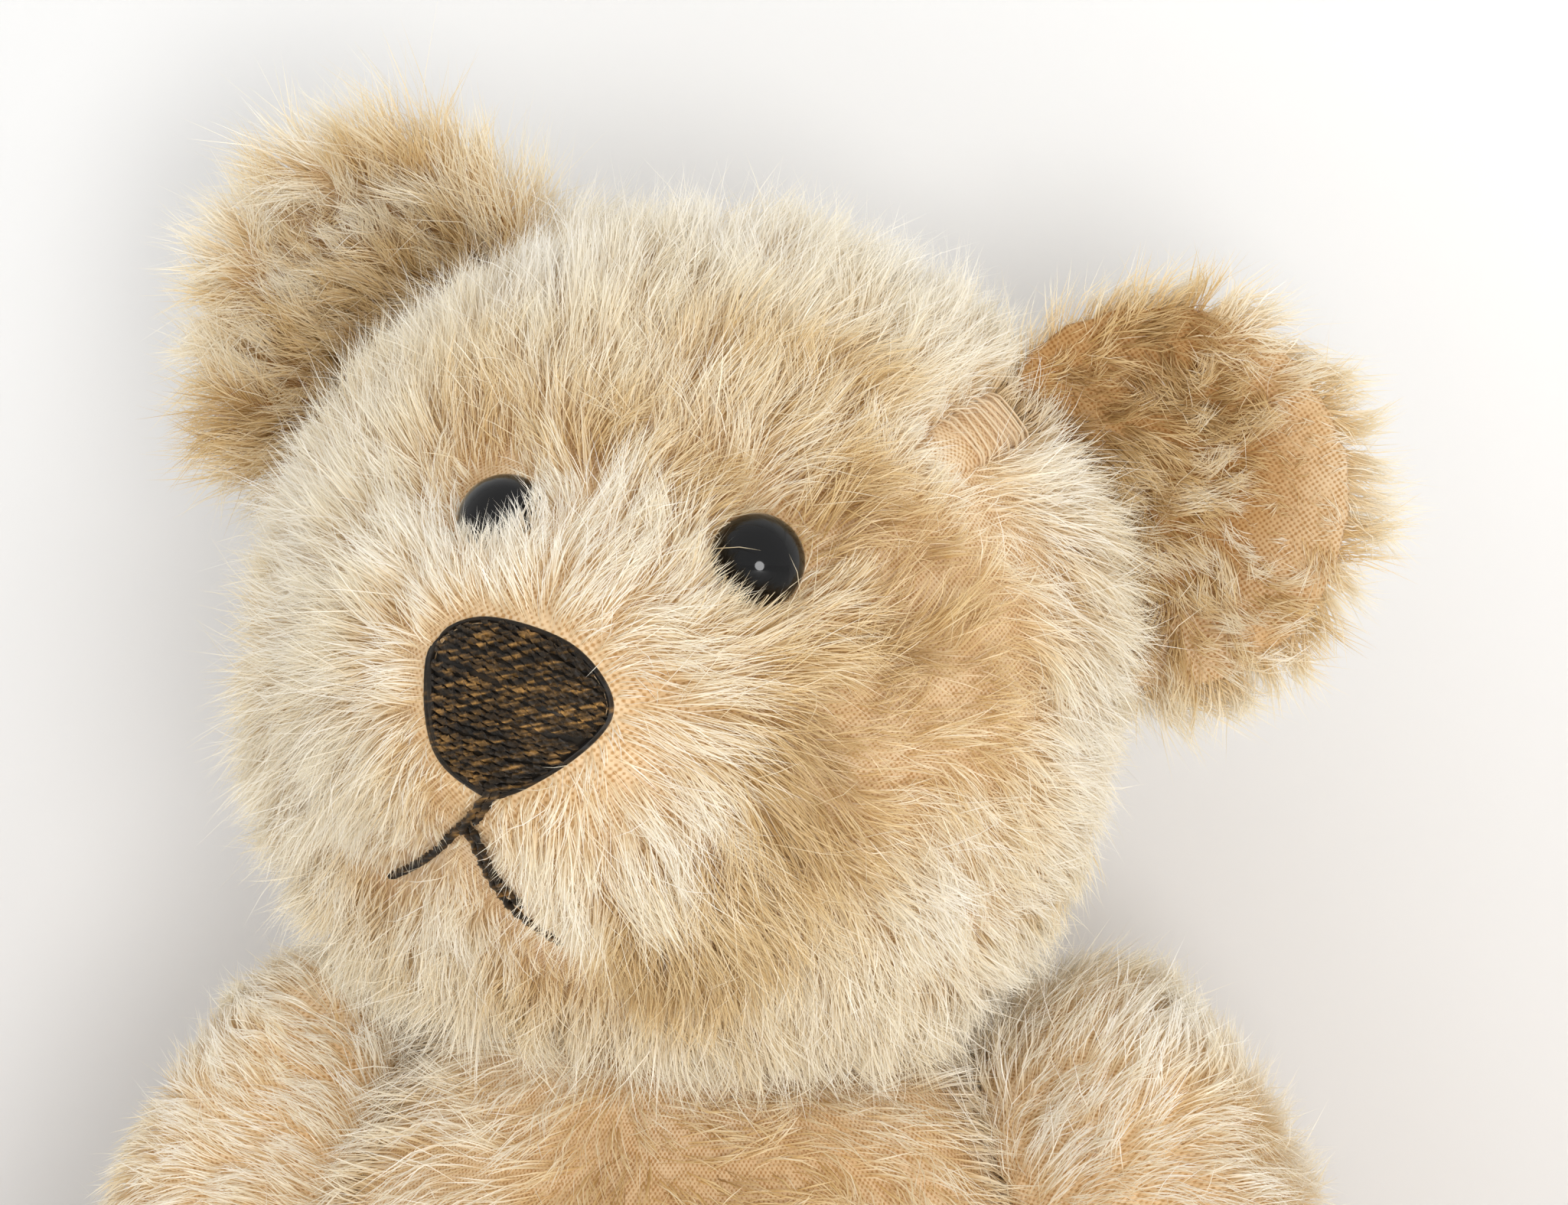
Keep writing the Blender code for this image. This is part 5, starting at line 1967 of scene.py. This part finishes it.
# ---- studio
@dataclass
class Studio:
    """A plain pale floor, a backdrop, soft lamps and the camera.

    Attributes:
        head: The head's own axes, which the camera looks at.
        azimuth: The camera's angle round the bear, from straight ahead towards its left.
        elevation: The camera's angle above the head's middle.
        distance: How far the camera is from the head's middle.
        lens: Its focal length in millimetres.
        aim: How far right of and above the head's middle it aims.
        backdrop: How far behind the bear's middle the backdrop hangs.
    """

    head: Place
    azimuth: float = math.radians(14.5)
    elevation: float = math.radians(3.0)
    distance: float = 0.430
    lens: float = 103.0
    aim: tuple[float, float] = (0.0083, 0.0046)
    backdrop: float = 0.058

    def axes(self) -> tuple[Vector, Vector, Vector]:
        """Gives the way from the head to the camera, and its right and up."""
        level = math.cos(self.elevation)
        way = Vector((math.sin(self.azimuth) * level, -math.cos(self.azimuth) * level,
                      math.sin(self.elevation)))
        right = Vector((0, 0, 1)).cross(way).normalized()
        return way, right, way.cross(right)

    @staticmethod
    def aimed(data: bpy.types.ID, spot: Vector, target: Vector) -> bpy.types.Object:
        """Puts a camera or a lamp at a spot, aimed at a target."""
        obj = put_in(data.name, data)
        obj.location = spot
        obj.rotation_euler = (spot - target).to_track_quat("Z", "Y").to_euler()
        return obj

    def make_camera(self) -> None:
        """Sets the camera up."""
        way, right, up = self.axes()
        target = self.head.origin + right * self.aim[0] + up * self.aim[1]
        camera = bpy.data.cameras.new("camera")
        camera.lens = self.lens
        camera.sensor_width = 36.0
        bpy.context.scene.camera = self.aimed(camera, self.head.origin + way * self.distance, target)

    def make_floor(self) -> None:
        """Lays a pale floor."""
        floor = start_from("floor", bpy.ops.mesh.primitive_plane_add, size=4.0, location=(0, 0, 0))
        recipe = Recipe("pale_floor", roughness=0.9)
        recipe.colour((0.84, 0.84, 0.835, 1.0))
        floor.data.materials.append(recipe.material)
        floor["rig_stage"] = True

    def make_backdrop(self) -> None:
        """Hangs a white paper backdrop close behind the bear, which is clear from behind, with painted shade
        darkening it towards its bottom.
        """
        paper = start_from("backdrop", bpy.ops.mesh.primitive_plane_add, size=1.6,
                           location=(0.0, self.backdrop, 0.5), rotation=(math.radians(90), 0, 0))
        recipe = Recipe("white_paper", roughness=0.95, specular=0.1)
        grain = recipe.noise(recipe.own_space(), 40.0, 3.0)
        height = recipe.node("SeparateXYZ", None, i0=recipe.own_space()).outputs[1]
        # painted shade: the paper darkens and warms towards its bottom
        shaded_paper = recipe.mix(recipe.rise(height, -0.42, -0.27), (0.865, 0.850, 0.838, 1.0),
                                 (0.925, 0.925, 0.92, 1.0))
        recipe.colour(recipe.mix(recipe.math("MULTIPLY", grain, 0.04), shaded_paper, (0.7, 0.7, 0.7, 1.0)))
        recipe.mix_in(recipe.node("NewGeometry").outputs["Backfacing"], recipe.node("BsdfTransparent"))
        paper.data.materials.append(recipe.material)
        paper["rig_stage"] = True

    def make_lamp(self, name: str, offset: Triple, size: float, power: float) -> None:
        """Hangs a round soft lamp that shines at the head.

        Args:
            name: Its name.
            offset: How far it is from the head to the camera's right, up and towards the camera.
            size: How wide it is.
            power: Its power in watts.
        """
        way, right, up = self.axes()
        lamp = bpy.data.lights.new(name, "AREA")
        lamp.shape = "DISK"
        lamp.size = size
        lamp.energy = power
        spot = self.head.origin + right * offset[0] + up * offset[1] + way * offset[2]
        self.aimed(lamp, spot, self.head.origin)

    def make_world(self) -> None:
        """Fills the room with plain light, which looks white to the camera."""
        world = bpy.data.worlds.new("studio")
        bpy.context.scene.world = world
        world.use_nodes = True
        tree = world.node_tree
        background = tree.nodes["Background"]
        background.inputs["Color"].default_value = (0.89, 0.89, 0.89, 1.0)
        seen = tree.nodes.new("ShaderNodeBackground")
        seen.inputs["Color"].default_value = (0.97, 0.97, 0.965, 1.0)
        path = tree.nodes.new("ShaderNodeLightPath")
        mix = tree.nodes.new("ShaderNodeMixShader")
        tree.links.new(path.outputs["Is Camera Ray"], mix.inputs[0])
        tree.links.new(background.outputs[0], mix.inputs[1])
        tree.links.new(seen.outputs[0], mix.inputs[2])
        tree.links.new(mix.outputs[0], tree.nodes["World Output"].inputs["Surface"])

    def build(self) -> None:
        """Sets the whole studio up."""
        bpy.context.scene.view_settings.view_transform = "Standard"
        self.make_camera()
        self.make_floor()
        self.make_backdrop()
        self.make_world()
        self.make_lamp("key", (0.10, -0.07, 0.62), 0.22, 1.56)
        LOG.info("studio: camera, floor, backdrop, world and lamp")


# ---- the bear
def dress(node: str, finish: Finish) -> None:
    """Gives a CAD node its finish."""
    obj = bpy.data.objects[node]
    obj.data.materials.clear()
    obj.data.materials.append(finish.material())


def dress_hardware(nodes: Sequence[str]) -> None:
    """Dresses the joints' discs, washers and pins, the eyes' shanks and the stuffing."""
    for name in nodes:
        if "disc" in name:
            dress(name, BOARD)
        elif "washer" in name or "pin" in name or "shank" in name:
            dress(name, STEEL)
        elif "filling" in name:
            dress(name, WOOL)
        elif "pad" in name:
            dress(name, FELT)


# Where the head's coat is parted into pieces: off the middle on each side, and behind
SIDE_PART = 0.013
BACK_PART = 0.012
HEAD_PARTS = {
    "left": lambda p: (p[:, 0] >= SIDE_PART) & (p[:, 1] < BACK_PART),
    "middle": lambda p: (np.abs(p[:, 0]) < SIDE_PART) & (p[:, 1] < BACK_PART),
    "right": lambda p: (p[:, 0] <= -SIDE_PART) & (p[:, 1] < BACK_PART),
    "back": lambda p: p[:, 1] >= BACK_PART}


class Bear:
    """The whole bear: its bags, and what is sewn to them and grows on them."""

    def __init__(self, frame: dict) -> None:
        """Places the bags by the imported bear's joints.
        """
        self.place = head_place(frame)
        self.head = Head("head", "head_cover", "head", self.place)
        self.torso = Torso("torso", "torso_cover", "torso", Place(Vector(), Matrix.Identity(3)), stands=True)
        self.arms, self.legs, self.ears = {}, {}, {}
        for label, side in SIDES:
            spot = arm_place(frame, label, side)
            palm = PadForm.of(f"{label}_palm_pad", spot, (0, 0, -1), (side, 0, 0))
            self.arms[side] = Arm(f"{label}_arm", f"{label}_arm_cover", f"{label}_arm", spot, pad=palm,
                                  side=side)
            spot = leg_place(frame, label, side)
            sole = PadForm.of(f"{label}_sole_pad", spot, (0, 0, 1), (0, -1, 0))
            self.legs[side] = Leg(f"{label}_leg", f"{label}_leg_cover", f"{label}_leg", spot, stands=True,
                                  pad=sole, side=side, joint=0.021)
            self.ears[side] = Ear(f"{label}_ear", f"{label}_ear", "head", ear_place(self.place, side),
                                  mesh_pitch=0.0012, fill=0.0, side=side, shaggy=side < 0)

    def sew(self) -> None:
        """Makes the bags' cloth, and sews on the face and the pads."""
        for bag in (self.head, self.torso, *self.arms.values(), *self.legs.values(), *self.ears.values()):
            bag.sew()
        lean = math.atan2(self.place.turn[0][2], self.place.turn[2][2])
        Nose(self.head, lean).build()
        Mouth(self.head, lean).build()
        Eye("left", (0.0, -0.0010, 0.0)).build(self.place)
        Eye("right", (0.0018, -0.0012, -0.0018)).build(self.place)
        GussetSeam(self.head).build()
        for label, side in SIDES:
            Pad(self.arms[side], f"{label}_palm_pad", claws=0.0060).build()
            Pad(self.legs[side], f"{label}_sole_pad").build()

    def grow(self) -> None:
        """Grows the bags' coats, each clear of the bags beside it."""
        head, torso = self.head.skin, self.torso.skin
        arms, legs = ([bags[side].skin for _, side in SIDES] for bags in (self.arms, self.legs))
        coat = Pile(176000, seed=11, strays=0.11, frizz=0.0008, gather=0.58, mottle=0.6)
        for part, within in HEAD_PARTS.items():
            ribbon = SPARE if part == "back" else FINE
            grow(f"head_{part}_mohair", self.head, replace(coat, ribbon=ribbon), [torso, *arms], within)
        coat = Pile(21000, seed=31, length=0.0092, gather=0.75, mottle=1.8, ribbon=SPARE)
        grow("left_ear_mohair", self.ears[1], coat, [head])
        grow("right_ear_mohair", self.ears[-1], replace(coat, seed=32, length=0.0108, strays=0.12), [head])
        coat = Pile(70000, seed=21, width=0.00012, ribbon=SPARE)
        grow("torso_mohair", self.torso, coat, [head, *arms, *legs])
        for label, side in SIDES:
            coat = Pile(40000, seed=41 + side, width=0.00011, ribbon=SPARE)
            grow(f"{label}_arm_mohair", self.arms[side], coat, [head, torso])
            coat = Pile(15000, seed=51 + side, width=0.00024, ribbon=SPARE)
            grow(f"{label}_leg_mohair", self.legs[side], coat, [torso])


def main() -> None:
    """Builds the bear around its frame."""
    logging.basicConfig(level=logging.INFO, format="%(name)s: %(message)s")
    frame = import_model()
    bear = Bear(frame)
    Studio(bear.place).build()
    dress_hardware(frame["nodes"])
    bear.sew()
    bear.grow()
    counts = {obj.name: len(obj.data.loops) - 2 * len(obj.data.polygons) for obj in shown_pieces()
              if "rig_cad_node" not in obj}
    LOG.info("triangles added: %d; the most on one piece: %d", sum(counts.values()), max(counts.values()))


if __name__ == "__main__":
    main()
